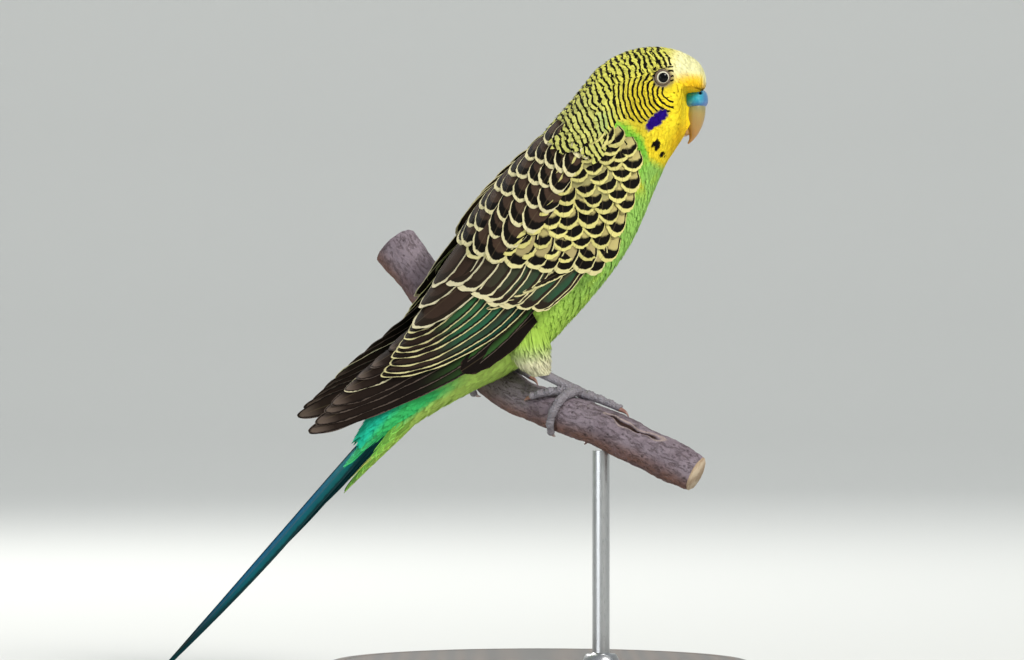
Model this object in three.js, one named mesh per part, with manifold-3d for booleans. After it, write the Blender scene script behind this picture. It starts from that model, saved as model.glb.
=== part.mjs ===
// A life-size still model of a wild-coloured budgerigar, gripping a short cut length of branch that one rod holds
// over a round base. Millimetres. The bird looks along +X, its left side is at +Y, and +Z is up. The origin is the
// centre of the base's underside. Plumage is modelled at its outer surface; wings and tail are built vane by vane.
import * as THREE from "three";
import { mergeVertices } from "three/addons/utils/BufferGeometryUtils.js";
import Module from "manifold-3d";

const wasm = await Module();
wasm.setup();

// Driving dimensions

const GAP = 0.3; // clearance between neighbouring pieces
const VANE_THICKNESS = 0.55;

// Each rib of the body joins a point of the back line to one of the breast line, from the bill base to the tail.
// back x, back z, breast x, breast z, half width
const RIBS = [
  [37.0, 138.6, 37.0, 138.6, 0],
  [38.3, 141.6, 34.9, 133.7, 4.8],
  [38.7, 144.4, 33.3, 130.7, 7.3],
  [37.4, 147.7, 31.8, 128.4, 8.9],
  [34.4, 150.1, 30.5, 126.4, 9.9],
  [30.2, 151.6, 29.3, 124.4, 10.5],
  [24.6, 151.9, 28.2, 121.9, 10.8],
  [18.4, 150.3, 27.0, 119.1, 11.1],
  [13.0, 146.7, 25.8, 116.2, 11.8],
  [8.5, 141.2, 24.2, 112.2, 12.9],
  [2.8, 134.6, 21.8, 106.9, 14.2],
  [-4.2, 126.2, 17.9, 100.6, 15.2],
  [-10.2, 117.2, 13.2, 94.6, 15.4],
  [-16.4, 107.2, 7.4, 88.0, 14.6],
  [-21.6, 97.4, 1.0, 81.4, 13.0],
  [-26.4, 87.8, -7.0, 75.8, 10.8],
  [-31.6, 79.2, -16.2, 71.2, 8.6],
  [-37.0, 71.4, -25.6, 65.9, 6.6],
  [-41.8, 64.4, -33.6, 60.2, 4.9],
  [-44.9, 59.3, -38.6, 55.2, 3.4],
];
const SECTION_POWER = 2.15; // 2 is an ellipse
const HEAD_END = 6.5; // ribs, counted as real numbers along the body
const NECK_END = 8.6;
const TORSO_END = 15.9;
const CUT = 0.1; // of a rib

const EYE = { x: 28.3, z: 144.3, radius: 2.3, out: 7.55, lid: 1.72, lidWidth: 0.5 };

// Upper bill: front x, front z, rear x, rear z, half width
const UPPER_BILL = [
  [37.9, 139.6, 34.4, 138.9, 2.5],
  [38.5, 137.8, 33.9, 136.8, 2.8],
  [38.4, 136.0, 33.8, 134.9, 2.6],
  [37.9, 133.9, 34.1, 133.2, 2.1],
  [36.9, 131.7, 34.5, 131.9, 1.5],
  [35.7, 130.2, 34.7, 130.6, 0.8],
  [34.6, 129.2, 34.3, 129.4, 0.25],
];
const LOWER_BILL = [
  [33.2, 135.2, 31.4, 132.4, 2.2],
  [34.2, 133.6, 32.6, 131.2, 2.2],
  [34.7, 132.5, 33.6, 130.9, 1.8],
  [34.9, 131.8, 34.5, 131.3, 0.9],
];
const CERE = { x: 36.1, z: 139.9, long: 2.75, high: 2.0, wide: 3.5, tilt: -0.12 };
const NOSTRIL = { x: 37.3, z: 141.3, y: 1.75, radius: 0.42, deep: 1.6 };

// Folded wing
const WRIST = { x: 21.4, z: 122.0 }; // the bend of the wing
const WING_ANGLE = (218.5 * Math.PI) / 180; // from the bend to the tip
const LEFT_WING_LIFT = (-2.6 * Math.PI) / 180; // the far wing tip lies a little higher
// The wing's inner face: along, middle, rise above the middle, drop below it, half width of the pair
const SHELL = [
  [-4, 8.6, 13.0, 20, 10.6],
  [6, 5.8, 13.6, 22, 13.2],
  [15, 2.8, 15.0, 24, 14.3],
  [30, 0.2, 14.9, 24, 14.3],
  [45, -3.4, 13.4, 22, 12.6],
  [60, -4.6, 10.0, 18, 9.8],
  [73, -3.6, 8.4, 14, 7.2],
  [85, -2.0, 7.0, 12, 4.6],
  [102, -0.5, 6.0, 10, 2.3],
];
// along, lowest, highest: the fleshy arm, and the room that the whole wing takes
const ARM = [
  [0.6, 2.0, 7.0],
  [3, -2.4, 10.2],
  [8, -5.6, 13.2],
  [16, -9.6, 15.6],
  [25, -10.6, 15.6],
  [35, -9.6, 13.2],
  [46, -7.2, 8.6],
];
const WING_ROOM = [
  [-1.6, 0, 12.5],
  [3, -6, 16.0],
  [10, -11, 17.6],
  [20, -14.5, 18.0],
  [35, -14.5, 16.0],
  [50, -13.5, 11.5],
  [62, -13.0, 9.5],
  [80, -9.0, 7.0],
  [103, -5.0, 5.0],
];
const ARM_HEIGHT = 2.3;
const ROOM_HEIGHT = 9;

// Tiers of wing feathers. Roots and tips run along two bent lines, given by three points (x, z) each.
const WING_TIERS = [
  {
    name: "primaries", count: 6, width: 4.8, narrow: 4.9, low: 0.45, high: 0.3, roll: 1.05, bend: -1.6, tip: 0.72,
    roots: [[3.0, 91.0], [-7, 94.5], [-17.5, 99.0]],
    tips: [[-54.2, 61.9], [-51.4, 66.0], [-38.0, 77.4]],
  },
  {
    name: "secondaries", count: 4, width: 6.0, narrow: 7.0, low: 1.15, high: 1.4, roll: 1.05, bend: -1.0, tip: 0.6,
    roots: [[2.0, 93.5], [-7, 98.0], [-16.5, 104.0]],
    tips: [[-35.6, 73.6], [-34.0, 78.0], [-30.2, 84.6]],
  },
  {
    name: "tertials", count: 2, width: 9.4, narrow: 9.4, low: 1.6, high: 2.2, roll: 0.7, bend: 0.8, tip: 0.55,
    roots: [[-9.5, 104.0], [-12, 108], [-14.6, 110.5]],
    tips: [[-28.6, 87.6], [-28.0, 91.0], [-25.0, 96.0]],
  },
  {
    name: "greater_coverts", count: 4, width: 7.2, narrow: 8.4, low: 1.5, high: 2.3, roll: 0.9, bend: -0.6, tip: 0.45,
    roots: [[10.5, 101.0], [2, 104.0], [-12.5, 108.5]],
    tips: [[-1.5, 90.6], [-9.5, 91.6], [-22.5, 97.0]],
  },
  {
    name: "median_coverts", count: 3, width: 9.0, narrow: 9.6, low: 1.9, high: 3.0, roll: 0.8, bend: -0.4, tip: 0.4,
    roots: [[14.2, 107.0], [5, 109.0], [-8.5, 112.5]],
    tips: [[10.4, 98.4], [-1.5, 98.6], [-17.0, 103.0]],
  },
  {
    name: "lesser_coverts_1", count: 4, width: 7.2, narrow: 7.6, low: 1.7, high: 3.2, roll: 0.7, bend: 0, tip: 0.4,
    roots: [[17.4, 114.6], [8, 115.0], [-4.0, 118.0]],
    tips: [[15.6, 104.6], [5.4, 104.4], [-8.5, 109.0]],
  },
  {
    name: "lesser_coverts_2", count: 3, width: 8.0, narrow: 8.8, low: 1.3, high: 3.1, roll: 0.7, bend: 0, tip: 0.35,
    roots: [[19.4, 121.5], [11, 122.5], [1.5, 124.5]],
    tips: [[19.2, 111.2], [9.4, 110.8], [-2.0, 114.6]],
  },
  {
    name: "lesser_coverts_3", count: 3, width: 6.8, narrow: 7.4, low: 0.9, high: 2.9, roll: 0.6, bend: 0, tip: 0.35,
    roots: [[18.2, 126.4], [13, 127.6], [8.5, 128.2]],
    tips: [[20.4, 117.2], [13.0, 117.0], [4.4, 120.2]],
  },
  {
    name: "scapulars_1", count: 2, width: 8.6, narrow: 8.0, low: 1.3, high: 2.9, roll: -0.7, bend: 1.2, tip: 0.5,
    roots: [[-2.5, 115.5], [-5, 117.0], [-6.6, 118.4]],
    tips: [[-16.0, 100.6], [-17.6, 102.6], [-18.6, 104.4]],
  },
  {
    name: "scapulars_2", count: 2, width: 8.8, narrow: 8.0, low: 1.2, high: 3.0, roll: -0.7, bend: 1.0, tip: 0.45,
    roots: [[4.0, 123.0], [1, 124.0], [-1.0, 124.8]],
    tips: [[-6.0, 109.2], [-9.6, 110.6], [-12.4, 112.6]],
  },
];

// Tail: along runs from its root towards the tip, out to the side, and up square to both.
const TAIL_ROOT = { x: -33.0, z: 68.6 };
const TAIL_ANGLE = (229 * Math.PI) / 180;
// length, width, root offset to the side, depth below the ridge
const RECTRICES = [
  [84.6, 5.4, 1.4, 0.0],
  [61.0, 5.2, 2.0, 0.9],
  [43.0, 5.0, 2.5, 1.8],
  [33.0, 4.8, 2.8, 2.7],
  [26.0, 4.6, 2.9, 3.6],
];
const ROOF_SLOPE = 0.62; // fall of a tail vane from the ridge to its outer edge
const TAIL_COVERTS = { rows: 2, perRow: 4, width: 7.6, lift: 0.5 };

// Perch: x, y, z, radius
const PERCH = [
  [-34.0, 28.5, 106.0, 5.6],
  [-26.6, 24.0, 96.4, 5.3],
  [-19.6, 19.6, 86.6, 5.1],
  [-12.6, 13.2, 76.4, 4.8],
  [-5.0, 4.8, 70.6, 4.5],
  [4.4, -5.0, 67.0, 4.6],
  [14.6, -11.4, 63.4, 4.8],
  [24.8, -16.2, 58.6, 4.7],
  [35.6, -20.4, 53.0, 4.5],
];
const BARK = 0.28; // how far the bark swells

const FOOT_RIGHT = 5.28; // place along the perch, counted in its points
const FOOT_LEFT = 3.28;
const TOE = { start: 0.95, end: 0.62, claw: 3.1, clawRadius: 0.48 };
// Toes: start along the perch, end along it, start angle, end angle. The angle is from the top towards the near side.
const TOES = {
  right: [
    [0.02, 0.84, -8, -22],
    [0.05, 0.3, -30, -138],
    [-0.05, -0.16, 24, 142],
    [-0.1, -0.62, 10, 62],
  ],
  left: [
    [0.05, 0.72, 0, -28],
    [0.05, 0.24, -30, -136],
    [-0.05, -0.1, 30, 146],
    [-0.1, -0.55, -6, -66],
  ],
};
// Thigh and shank: x, y, z, radius, down from inside the belly
const LEGS = {
  right: [
    [-3.4, -6.6, 87.0, 5.4],
    [-2.4, -6.8, 81.0, 4.9],
    [-0.8, -6.7, 77.2, 3.3],
    [0.6, -6.5, 75.4, 1.9],
  ],
  left: [
    [-11.6, 5.4, 88.0, 5.0],
    [-12.0, 6.6, 85.2, 4.6],
    [-12.2, 7.4, 83.6, 3.2],
    [-12.3, 8.0, 82.6, 1.9],
  ],
};
const SHANK_RADIUS = 1.05;

const ROD = { x: 14.0, y: -11.0, radius: 2.0, collar: 4.4, collarHeight: 2.2 };
const BASE = { radius: 50, height: 9, bevel: 1.2 };

// Curves and closed bodies

const lerp = (a, b, t) => a + (b - a) * t;
const clamp = (v, low, high) => Math.min(high, Math.max(low, v));
const smooth = (t) => clamp(t, 0, 1) ** 2 * (3 - 2 * clamp(t, 0, 1));

// A Catmull-Rom curve through rows of numbers, at a real-numbered row.
function rowAt(rows, s) {
  const last = rows.length - 1;
  const i = clamp(Math.floor(s), 0, last - 1);
  const t = clamp(s, 0, last) - i;
  const [p, q, r, v] = [rows[Math.max(i - 1, 0)], rows[i], rows[i + 1], rows[Math.min(i + 2, last)]];
  return q.map((_, k) =>
    0.5 *
    (2 * q[k] +
      (r[k] - p[k]) * t +
      (2 * p[k] - 5 * q[k] + 4 * r[k] - v[k]) * t * t +
      (3 * q[k] - p[k] - 3 * r[k] + v[k]) * t * t * t));
}

// The same rows looked up by their first number.
function rowBy(rows, value) {
  const last = rows.length - 1;
  let i = 0;
  while (i < last - 1 && rows[i + 1][0] < value) i += 1;
  const t = clamp((value - rows[i][0]) / (rows[i + 1][0] - rows[i][0]), 0, 1);
  return rowAt(rows, i + t);
}

// A closed solid through rings of points; each end is closed by a fan, or by the ring itself where it is a point.
function loft(rings) {
  const around = rings[0].length;
  const points = rings.flat();
  const faces = [];
  for (let i = 0; i < rings.length - 1; i += 1)
    for (let j = 0; j < around; j += 1) {
      const a = i * around + j;
      const b = i * around + ((j + 1) % around);
      faces.push([a, b, b + around], [a, b + around, a + around]);
    }
  for (const [ring, turned] of [[0, true], [rings.length - 1, false]]) {
    const middle = new THREE.Vector3();
    rings[ring].forEach((p) => middle.addScaledVector(p, 1 / around));
    points.push(middle);
    for (let j = 0; j < around; j += 1) {
      const edge = [ring * around + j, ring * around + ((j + 1) % around)];
      faces.push(turned ? [edge[1], edge[0], points.length - 1] : [edge[0], edge[1], points.length - 1]);
    }
  }
  return solidOf(points, faces);
}

// A curved plate between two grids of points. Both faces are split alike.
function plate(lower, upper) {
  const [rows, columns] = [lower.length, lower[0].length];
  const points = [...lower.flat(), ...upper.flat()];
  const at = (i, j, top) => (top ? rows * columns : 0) + i * columns + j;
  const faces = [];
  const quad = (a, b, c, d) => faces.push([a, b, c], [a, c, d]);
  for (let i = 0; i < rows - 1; i += 1)
    for (let j = 0; j < columns - 1; j += 1) {
      quad(at(i, j, true), at(i, j + 1, true), at(i + 1, j + 1, true), at(i + 1, j, true));
      faces.push(
        [at(i, j, false), at(i + 1, j + 1, false), at(i, j + 1, false)],
        [at(i, j, false), at(i + 1, j, false), at(i + 1, j + 1, false)],
      );
    }
  for (let i = 0; i < rows - 1; i += 1) {
    quad(at(i, 0, false), at(i, 0, true), at(i + 1, 0, true), at(i + 1, 0, false));
    const j = columns - 1;
    quad(at(i + 1, j, false), at(i + 1, j, true), at(i, j, true), at(i, j, false));
  }
  for (let j = 0; j < columns - 1; j += 1) {
    quad(at(0, j + 1, false), at(0, j + 1, true), at(0, j, true), at(0, j, false));
    const i = rows - 1;
    quad(at(i, j, false), at(i, j, true), at(i, j + 1, true), at(i, j + 1, false));
  }
  return solidOf(points, faces);
}

function solidOf(points, faces) {
  const geometry = new THREE.BufferGeometry();
  geometry.setAttribute("position", new THREE.Float32BufferAttribute(points.flatMap((p) => p.toArray()), 3));
  geometry.setIndex(faces.flat());
  return solidFrom(geometry);
}

function solidFrom(geometry) {
  const bare = geometry.clone();
  bare.deleteAttribute("normal");
  bare.deleteAttribute("uv");
  const merged = mergeVertices(bare, 1e-4);
  const index = merged.index.array;
  const kept = [];
  for (let i = 0; i < index.length; i += 3) {
    const [a, b, c] = [index[i], index[i + 1], index[i + 2]];
    if (a !== b && b !== c && a !== c) kept.push([a, b, c]);
  }
  const made = (turned) =>
    new wasm.Manifold(
      new wasm.Mesh({
        numProp: 3,
        vertProperties: new Float32Array(merged.attributes.position.array),
        triVerts: new Uint32Array(kept.flatMap(([a, b, c]) => (turned ? [a, c, b] : [a, b, c]))),
      }),
    );
  const solid = made(false);
  return solid.volume() < 0 ? made(true) : solid;
}

const fuse = (solids) => solids.reduce((whole, piece) => whole.add(piece));

// The largest closed surface of a solid.
function largest(solid) {
  return solid.decompose().reduce((best, piece) => (piece.volume() > best.volume() ? piece : best));
}

function meshOf(name, solid, colour, roughness = 0.7, metalness = 0) {
  const made = largest(solid).getMesh();
  const geometry = new THREE.BufferGeometry();
  const points = new Float32Array(made.numVert * 3);
  for (let i = 0; i < made.numVert; i += 1)
    points.set(made.vertProperties.subarray(i * made.numProp, i * made.numProp + 3), i * 3);
  geometry.setAttribute("position", new THREE.BufferAttribute(points, 3));
  geometry.setIndex(new THREE.BufferAttribute(new Uint32Array(made.triVerts), 1));
  geometry.computeVertexNormals();
  const mesh = new THREE.Mesh(geometry, new THREE.MeshStandardMaterial({ color: colour, roughness, metalness }));
  mesh.name = name;
  return mesh;
}

// Body

// A point of a ribbed form: angle 0 is the back or front line, a half turn the other one. Grow pushes it outwards.
function ribPoint(ribs, s, angle, grow = 0) {
  const [ax, az, bx, bz, half] = rowAt(ribs, s);
  const depth = Math.hypot(ax - bx, az - bz) / 2;
  const [ux, uz] = depth > 1e-6 ? [(ax - bx) / 2 / depth, (az - bz) / 2 / depth] : [0, 0];
  const bulge = (v) => Math.sign(v) * Math.abs(v) ** (2 / SECTION_POWER);
  const up = bulge(Math.cos(angle)) * (depth > 1e-6 ? depth + grow : 0);
  const out = bulge(Math.sin(angle)) * (half > 1e-6 ? half + grow : 0);
  return new THREE.Vector3((ax + bx) / 2 + ux * up, -out, (az + bz) / 2 + uz * up);
}

function ribSolid(ribs, from, to, count, around, grow = 0) {
  const rings = [];
  for (let i = 0; i <= count; i += 1) {
    const s = lerp(from, to, i / count);
    const ring = [];
    for (let j = 0; j < around; j += 1) ring.push(ribPoint(ribs, s, (2 * Math.PI * j) / around, grow));
    rings.push(ring);
  }
  return loft(rings);
}

function ball(x, y, z, rx, ry, rz, tilt = 0, wide = 18, high = 12) {
  const geometry = new THREE.SphereGeometry(1, wide, high);
  geometry.rotateX(Math.PI / 2);
  geometry.scale(rx, ry, rz);
  geometry.rotateY(tilt);
  geometry.translate(x, y, z);
  return solidFrom(geometry);
}

function eyeBall(side, grow = 0) {
  const radius = EYE.radius + grow;
  return ball(EYE.x, -side * EYE.out, EYE.z, radius, radius, radius, 0, 14, 8);
}

// The pair of rings of bare skin round each eye.
function lidRing(side) {
  const ring = new THREE.TorusGeometry(EYE.lid, EYE.lidWidth / 2, 4, 12);
  ring.rotateX(Math.PI / 2);
  ring.rotateX(-side * 0.22);
  ring.rotateZ(-side * 0.1);
  ring.translate(EYE.x, -side * (EYE.out + 1.62), EYE.z - 0.05);
  return solidFrom(ring);
}

function cereSolid(grow = 0) {
  return ball(CERE.x, 0, CERE.z, CERE.long + grow, CERE.wide + grow, CERE.high + grow, CERE.tilt, 14, 7);
}

function nostril(side) {
  const hole = new THREE.CylinderGeometry(NOSTRIL.radius, NOSTRIL.radius * 0.7, NOSTRIL.deep, 10);
  hole.rotateZ(-0.5);
  hole.rotateX(side * 0.5);
  hole.translate(NOSTRIL.x, -side * NOSTRIL.y, NOSTRIL.z);
  return solidFrom(hole);
}

function billParts() {
  const upper = ribSolid(UPPER_BILL, 0, UPPER_BILL.length - 1, 9, 12);
  const lower = ribSolid(LOWER_BILL, 0, LOWER_BILL.length - 1, 5, 12)
    .subtract(ribSolid(UPPER_BILL, 0, UPPER_BILL.length - 1, 9, 12, GAP));
  const cere = cereSolid()
    .subtract(ribSolid(UPPER_BILL, 0, UPPER_BILL.length - 1, 9, 12, GAP))
    .subtract(nostril(1))
    .subtract(nostril(-1));
  return { upper, lower, cere };
}

function headSolid() {
  let head = ribSolid(RIBS, 0, HEAD_END, 13, 24);
  for (const side of [1, -1]) {
    head = head.add(lidRing(side));
    head = head.subtract(eyeBall(side, GAP));
  }
  return head
    .subtract(cereSolid(GAP))
    .subtract(ribSolid(UPPER_BILL, 0, UPPER_BILL.length - 1, 7, 12, GAP + 0.05))
    .subtract(ribSolid(LOWER_BILL, 0, LOWER_BILL.length - 1, 5, 12, GAP));
}

// Wings

function wingFrame(side) {
  const turned = WING_ANGLE + (side > 0 ? 0 : LEFT_WING_LIFT);
  const along = [Math.cos(turned), Math.sin(turned)];
  const up = [along[1], -along[0]];
  return {
    // Along the wing and across it, of a point in the drawing plane.
    place(x, z) {
      const [dx, dz] = [x - WRIST.x, z - WRIST.z];
      return [dx * Math.cos(WING_ANGLE) + dz * Math.sin(WING_ANGLE),
        dx * Math.sin(WING_ANGLE) - dz * Math.cos(WING_ANGLE)];
    },
    // How far round the shell a height across the wing lies.
    wrap(a, b, height, limit = 0.9) {
      const [, middle, rise, drop] = rowBy(SHELL, a);
      const reach = b > middle ? rise : drop;
      return reach * Math.asin(clamp((b - middle) / (reach + height), -limit, limit));
    },
    point(a, w, height) {
      const [, middle, rise, drop, half] = rowBy(SHELL, a);
      const reach = w > 0 ? rise : drop;
      const turn = w / reach;
      const slope = [Math.sin(turn) / reach, Math.cos(turn) / half];
      const size = Math.hypot(...slope);
      const b = middle + reach * Math.sin(turn) + (height * slope[0]) / size;
      const y = half * Math.cos(turn) + (height * slope[1]) / size;
      return new THREE.Vector3(
        WRIST.x + a * along[0] + b * up[0],
        -side * y,
        WRIST.z + a * along[1] + b * up[1],
      );
    },
  };
}

// A plate of the wing's shell between two heights.
function shellPlate(frame, outline, rows, columns, low, high, grow = 0) {
  const grids = [[], []];
  const [start, end] = [outline[0][0] - grow, outline[outline.length - 1][0] + grow];
  for (let i = 0; i <= rows; i += 1) {
    const a = lerp(start, end, (i / rows) ** 1.5);
    const [, lowest, highest] = rowBy(outline, a);
    const [w0, w1] = [frame.wrap(a, lowest - grow, 1, 0.998), frame.wrap(a, highest + grow, 1, 0.998)];
    const lines = [[], []];
    for (let j = 0; j <= columns; j += 1) {
      const t = j / columns;
      const w = lerp(w0, w1, t);
      lines[0].push(frame.point(a, w, low));
      lines[1].push(frame.point(a, w, high(i / rows, t)));
    }
    grids[0].push(lines[0]);
    grids[1].push(lines[1]);
  }
  return plate(grids[0], grids[1]);
}

const onBend = ([p, q, r], t) => [0, 1].map((k) => (1 - t) ** 2 * p[k] + 2 * t * (1 - t) * q[k] + t * t * r[k]);

// Width along a vane, from its root to its tip, as a share of the widest; tip is where it starts to round off.
function vaneWidth(t, tip) {
  const swell = lerp(0.5, 1, smooth(t / 0.4));
  const round = t > tip ? Math.sqrt(Math.max(0, 1 - ((t - tip) / (1.012 - tip)) ** 2)) : 1;
  return swell * round;
}

// One feather laid on the wing's shell. Steps are where its cross sections lie.
function wingVane(frame, tier, share, steps) {
  const root = frame.place(...onBend(tier.roots, share));
  const tip = frame.place(...onBend(tier.tips, share));
  root[1] = frame.wrap(root[0], root[1], tier.low);
  tip[1] = frame.wrap(tip[0], tip[1], tier.high);
  const [da, dw] = [tip[0] - root[0], tip[1] - root[1]];
  const length = Math.hypot(da, dw);
  const half = lerp(tier.width, tier.narrow, share) / 2;
  const lower = [];
  const upper = [];
  for (const t of steps) {
    const bow = tier.bend * 4 * t * (1 - t);
    const middle = [lerp(root[0], tip[0], t) - (dw / length) * bow, lerp(root[1], tip[1], t) + (da / length) * bow];
    const wide = half * vaneWidth(t, tier.tip);
    const height = lerp(tier.low, tier.high, t);
    const rows = [[], []];
    for (const k of [-1, 1]) {
      const [a, w] = [middle[0] - (dw / length) * wide * k, middle[1] + (da / length) * wide * k];
      const lifted = height + (Math.abs(tier.roll) - tier.roll * k) / 2;
      rows[0].push(frame.point(a, w, lifted));
      rows[1].push(frame.point(a, w, lifted + VANE_THICKNESS));
    }
    lower.push(rows[0]);
    upper.push(rows[1]);
  }
  return plate(lower, upper);
}

const LONG_STEPS = [0, 0.3, 0.6, 0.85, 1];
const SHORT_STEPS = [0, 0.5, 0.82, 1];

function wingSolid(side) {
  const frame = wingFrame(side);
  const arm = shellPlate(frame, ARM, 7, 5, 0, (i, j) => 0.6 + ARM_HEIGHT * (1 - (2 * j - 1) ** 4) * lerp(0.9, 0.3, i));
  const vanes = WING_TIERS.flatMap((tier) => {
    const made = [];
    const steps = tier.name.includes("aries") ? LONG_STEPS : SHORT_STEPS;
    for (let i = 0; i < tier.count; i += 1) made.push(wingVane(frame, tier, i / (tier.count - 1), steps));
    return made;
  });
  return fuse([arm, ...vanes]);
}

function wingRoom(side, grow = 0) {
  return shellPlate(wingFrame(side), WING_ROOM, 16, 10, -grow, () => ROOM_HEIGHT, grow);
}

// Tail

function tailPoint(along, out, up) {
  const d = [Math.cos(TAIL_ANGLE), Math.sin(TAIL_ANGLE)];
  return new THREE.Vector3(TAIL_ROOT.x + along * d[0] + up * d[1], out, TAIL_ROOT.z + along * d[1] - up * d[0]);
}

function rectrix(side, [length, width, offset, depth]) {
  const lower = [];
  const upper = [];
  for (const t of [0, 0.3, 0.6, 0.85, 1]) {
    const along = length * t;
    const wide = width * lerp(0.8, 1, smooth(t / 0.3)) * (t > 0.5 ? 1 - 0.93 * ((t - 0.5) / 0.5) ** 1.5 : 1);
    const inner = lerp(offset * 0.2, -0.35, smooth(t / 0.4));
    const rows = [[], []];
    for (const k of [0, 1]) {
      const out = inner + wide * k * 0.8;
      const fall = -depth * (1 - 0.45 * t) - Math.max(0, out) * ROOF_SLOPE - 0.9 * (k - 0.3) ** 2;
      rows[0].push(tailPoint(along, side * out, fall - VANE_THICKNESS));
      rows[1].push(tailPoint(along, side * out, fall));
    }
    lower.push(rows[0]);
    upper.push(rows[1]);
  }
  return plate(lower, upper);
}

// A short feather lying on the body's own surface, from one rib to another at an angle round the body.
function bodyVane(from, to, angle, width, low, high) {
  const lower = [];
  const upper = [];
  for (const t of SHORT_STEPS) {
    const s = lerp(from, to, t);
    const [, , , , half] = rowAt(RIBS, Math.min(s, RIBS.length - 1));
    const wide = ((width / 2) * vaneWidth(t, 0.5)) / Math.max(half, 2.6);
    const height = lerp(low, high, t);
    const rows = [[], []];
    for (const k of [-1, 1]) {
      rows[0].push(ribPoint(RIBS, s, angle + wide * k, height));
      rows[1].push(ribPoint(RIBS, s, angle + wide * k, height + VANE_THICKNESS));
    }
    lower.push(rows[0]);
    upper.push(rows[1]);
  }
  return plate(lower, upper);
}

function tailSolid() {
  const stump = ribSolid(RIBS, TORSO_END + CUT, RIBS.length - 1.05, 6, 20);
  const vanes = RECTRICES.flatMap((row) => [rectrix(1, row), rectrix(-1, row)]);
  const { rows, perRow, width, lift } = TAIL_COVERTS;
  for (let i = 0; i < rows; i += 1)
    for (let j = 0; j < perRow; j += 1) {
      const start = 16.3 + i * 1.15;
      const angle = (2 * Math.PI * (j + (i % 2) * 0.5)) / perRow;
      vanes.push(bodyVane(start, start + 1.5, angle, width - i * 1.4, -0.4, lift));
    }
  return fuse([stump, ...vanes]);
}

// Perch, feet and legs

function perchAt(t) {
  const [x, y, z, radius] = rowAt(PERCH, t);
  const [x1, y1, z1] = rowAt(PERCH, Math.min(t + 0.02, PERCH.length - 1));
  const [x0, y0, z0] = rowAt(PERCH, Math.max(t - 0.02, 0));
  const along = new THREE.Vector3(x1 - x0, y1 - y0, z1 - z0).normalize();
  const near = new THREE.Vector3().crossVectors(along, new THREE.Vector3(0, 0, 1)).normalize();
  const top = new THREE.Vector3().crossVectors(near, along).normalize();
  return { centre: new THREE.Vector3(x, y, z), along, near, top, radius };
}

function perchPoint(t, angle, out = 0, bark = 0) {
  const at = perchAt(t);
  const reach = at.radius + out + bark;
  return at.centre
    .addScaledVector(at.top, Math.cos(angle) * reach)
    .addScaledVector(at.near, Math.sin(angle) * reach);
}

// Low swellings along and round the branch. They fade out where the feet hold it.
function bark(t, angle) {
  const held = Math.min(1, Math.abs(t - FOOT_RIGHT + 0.1) / 0.9, Math.abs(t - FOOT_LEFT) / 0.9);
  return BARK * held * (Math.sin(3 * angle + 1.7 * t) * 0.5 + Math.sin(5.1 * t + 0.8) * 0.7 + Math.sin(2 * angle - 3.3 * t) * 0.6);
}

function perchSolid(grow = 0) {
  const rings = [];
  const steps = 20;
  const around = 11;
  for (let i = 0; i <= steps; i += 1) {
    const t = ((PERCH.length - 1) * i) / steps;
    const ring = [];
    for (let j = 0; j < around; j += 1) {
      const angle = (2 * Math.PI * j) / around;
      ring.push(perchPoint(t, angle, grow, bark(t, angle)));
    }
    rings.push(ring);
  }
  return loft(rings);
}

// A round tube or cone through points, each with its own radius.
function tube(points, radii, sides) {
  let u = null;
  const rings = points.map((p, i) => {
    const next = points[Math.min(i + 1, points.length - 1)];
    const last = points[Math.max(i - 1, 0)];
    const along = next.clone().sub(last).normalize();
    const start = Math.abs(along.y) < 0.9 ? new THREE.Vector3(0, 1, 0) : new THREE.Vector3(1, 0, 0);
    u = u ?? new THREE.Vector3().crossVectors(along, start);
    u.addScaledVector(along, -u.dot(along)).normalize();
    const v = new THREE.Vector3().crossVectors(along, u);
    const ring = [];
    for (let j = 0; j < sides; j += 1) {
      const angle = (2 * Math.PI * j) / sides;
      ring.push(p.clone().addScaledVector(u, radii[i] * Math.cos(angle)).addScaledVector(v, radii[i] * Math.sin(angle)));
    }
    return ring;
  });
  return loft(rings);
}

const degrees = (v) => (v * Math.PI) / 180;

// Where a toe runs: from the foot's middle, over the perch and round it.
function toePoint(foot, [start, end, from, to], t, radius) {
  const [along, angle] = [foot + lerp(start, end, t), degrees(lerp(from, to, t))];
  return perchPoint(along, angle, radius + GAP + 0.12, Math.max(0, bark(along, angle)));
}

function toeSolid(foot, toe, middle, grow = 0) {
  const points = [middle];
  const radii = [TOE.start + 0.15 + grow];
  const steps = 6;
  for (let i = 1; i <= steps; i += 1) {
    const t = i / steps;
    const joint = 0.1 * Math.cos(t * Math.PI * 5) ** 2;
    const radius = lerp(TOE.start, TOE.end, t) + joint;
    radii.push(radius + grow);
    points.push(toePoint(foot, toe, t, radius));
  }
  return tube(points, radii, 6);
}

function clawSolid(foot, toe) {
  const end = toePoint(foot, toe, 1, TOE.end);
  const before = toePoint(foot, toe, 0.9, TOE.end);
  const along = end.clone().sub(before).normalize();
  const inward = perchAt(foot + toe[1]).centre.sub(end).normalize();
  inward.addScaledVector(along, -inward.dot(along)).normalize();
  const points = [];
  const radii = [];
  const steps = 4;
  for (let i = 0; i <= steps; i += 1) {
    const t = i / steps;
    const reach = GAP + TOE.claw * t;
    points.push(
      end.clone().addScaledVector(along, reach * (1 - 0.18 * t)).addScaledVector(inward, 0.34 * t * t * TOE.claw - 0.3 * t),
    );
    radii.push(lerp(TOE.clawRadius, 0.17, t ** 1.3));
  }
  return tube(points, radii, 5);
}

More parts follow.
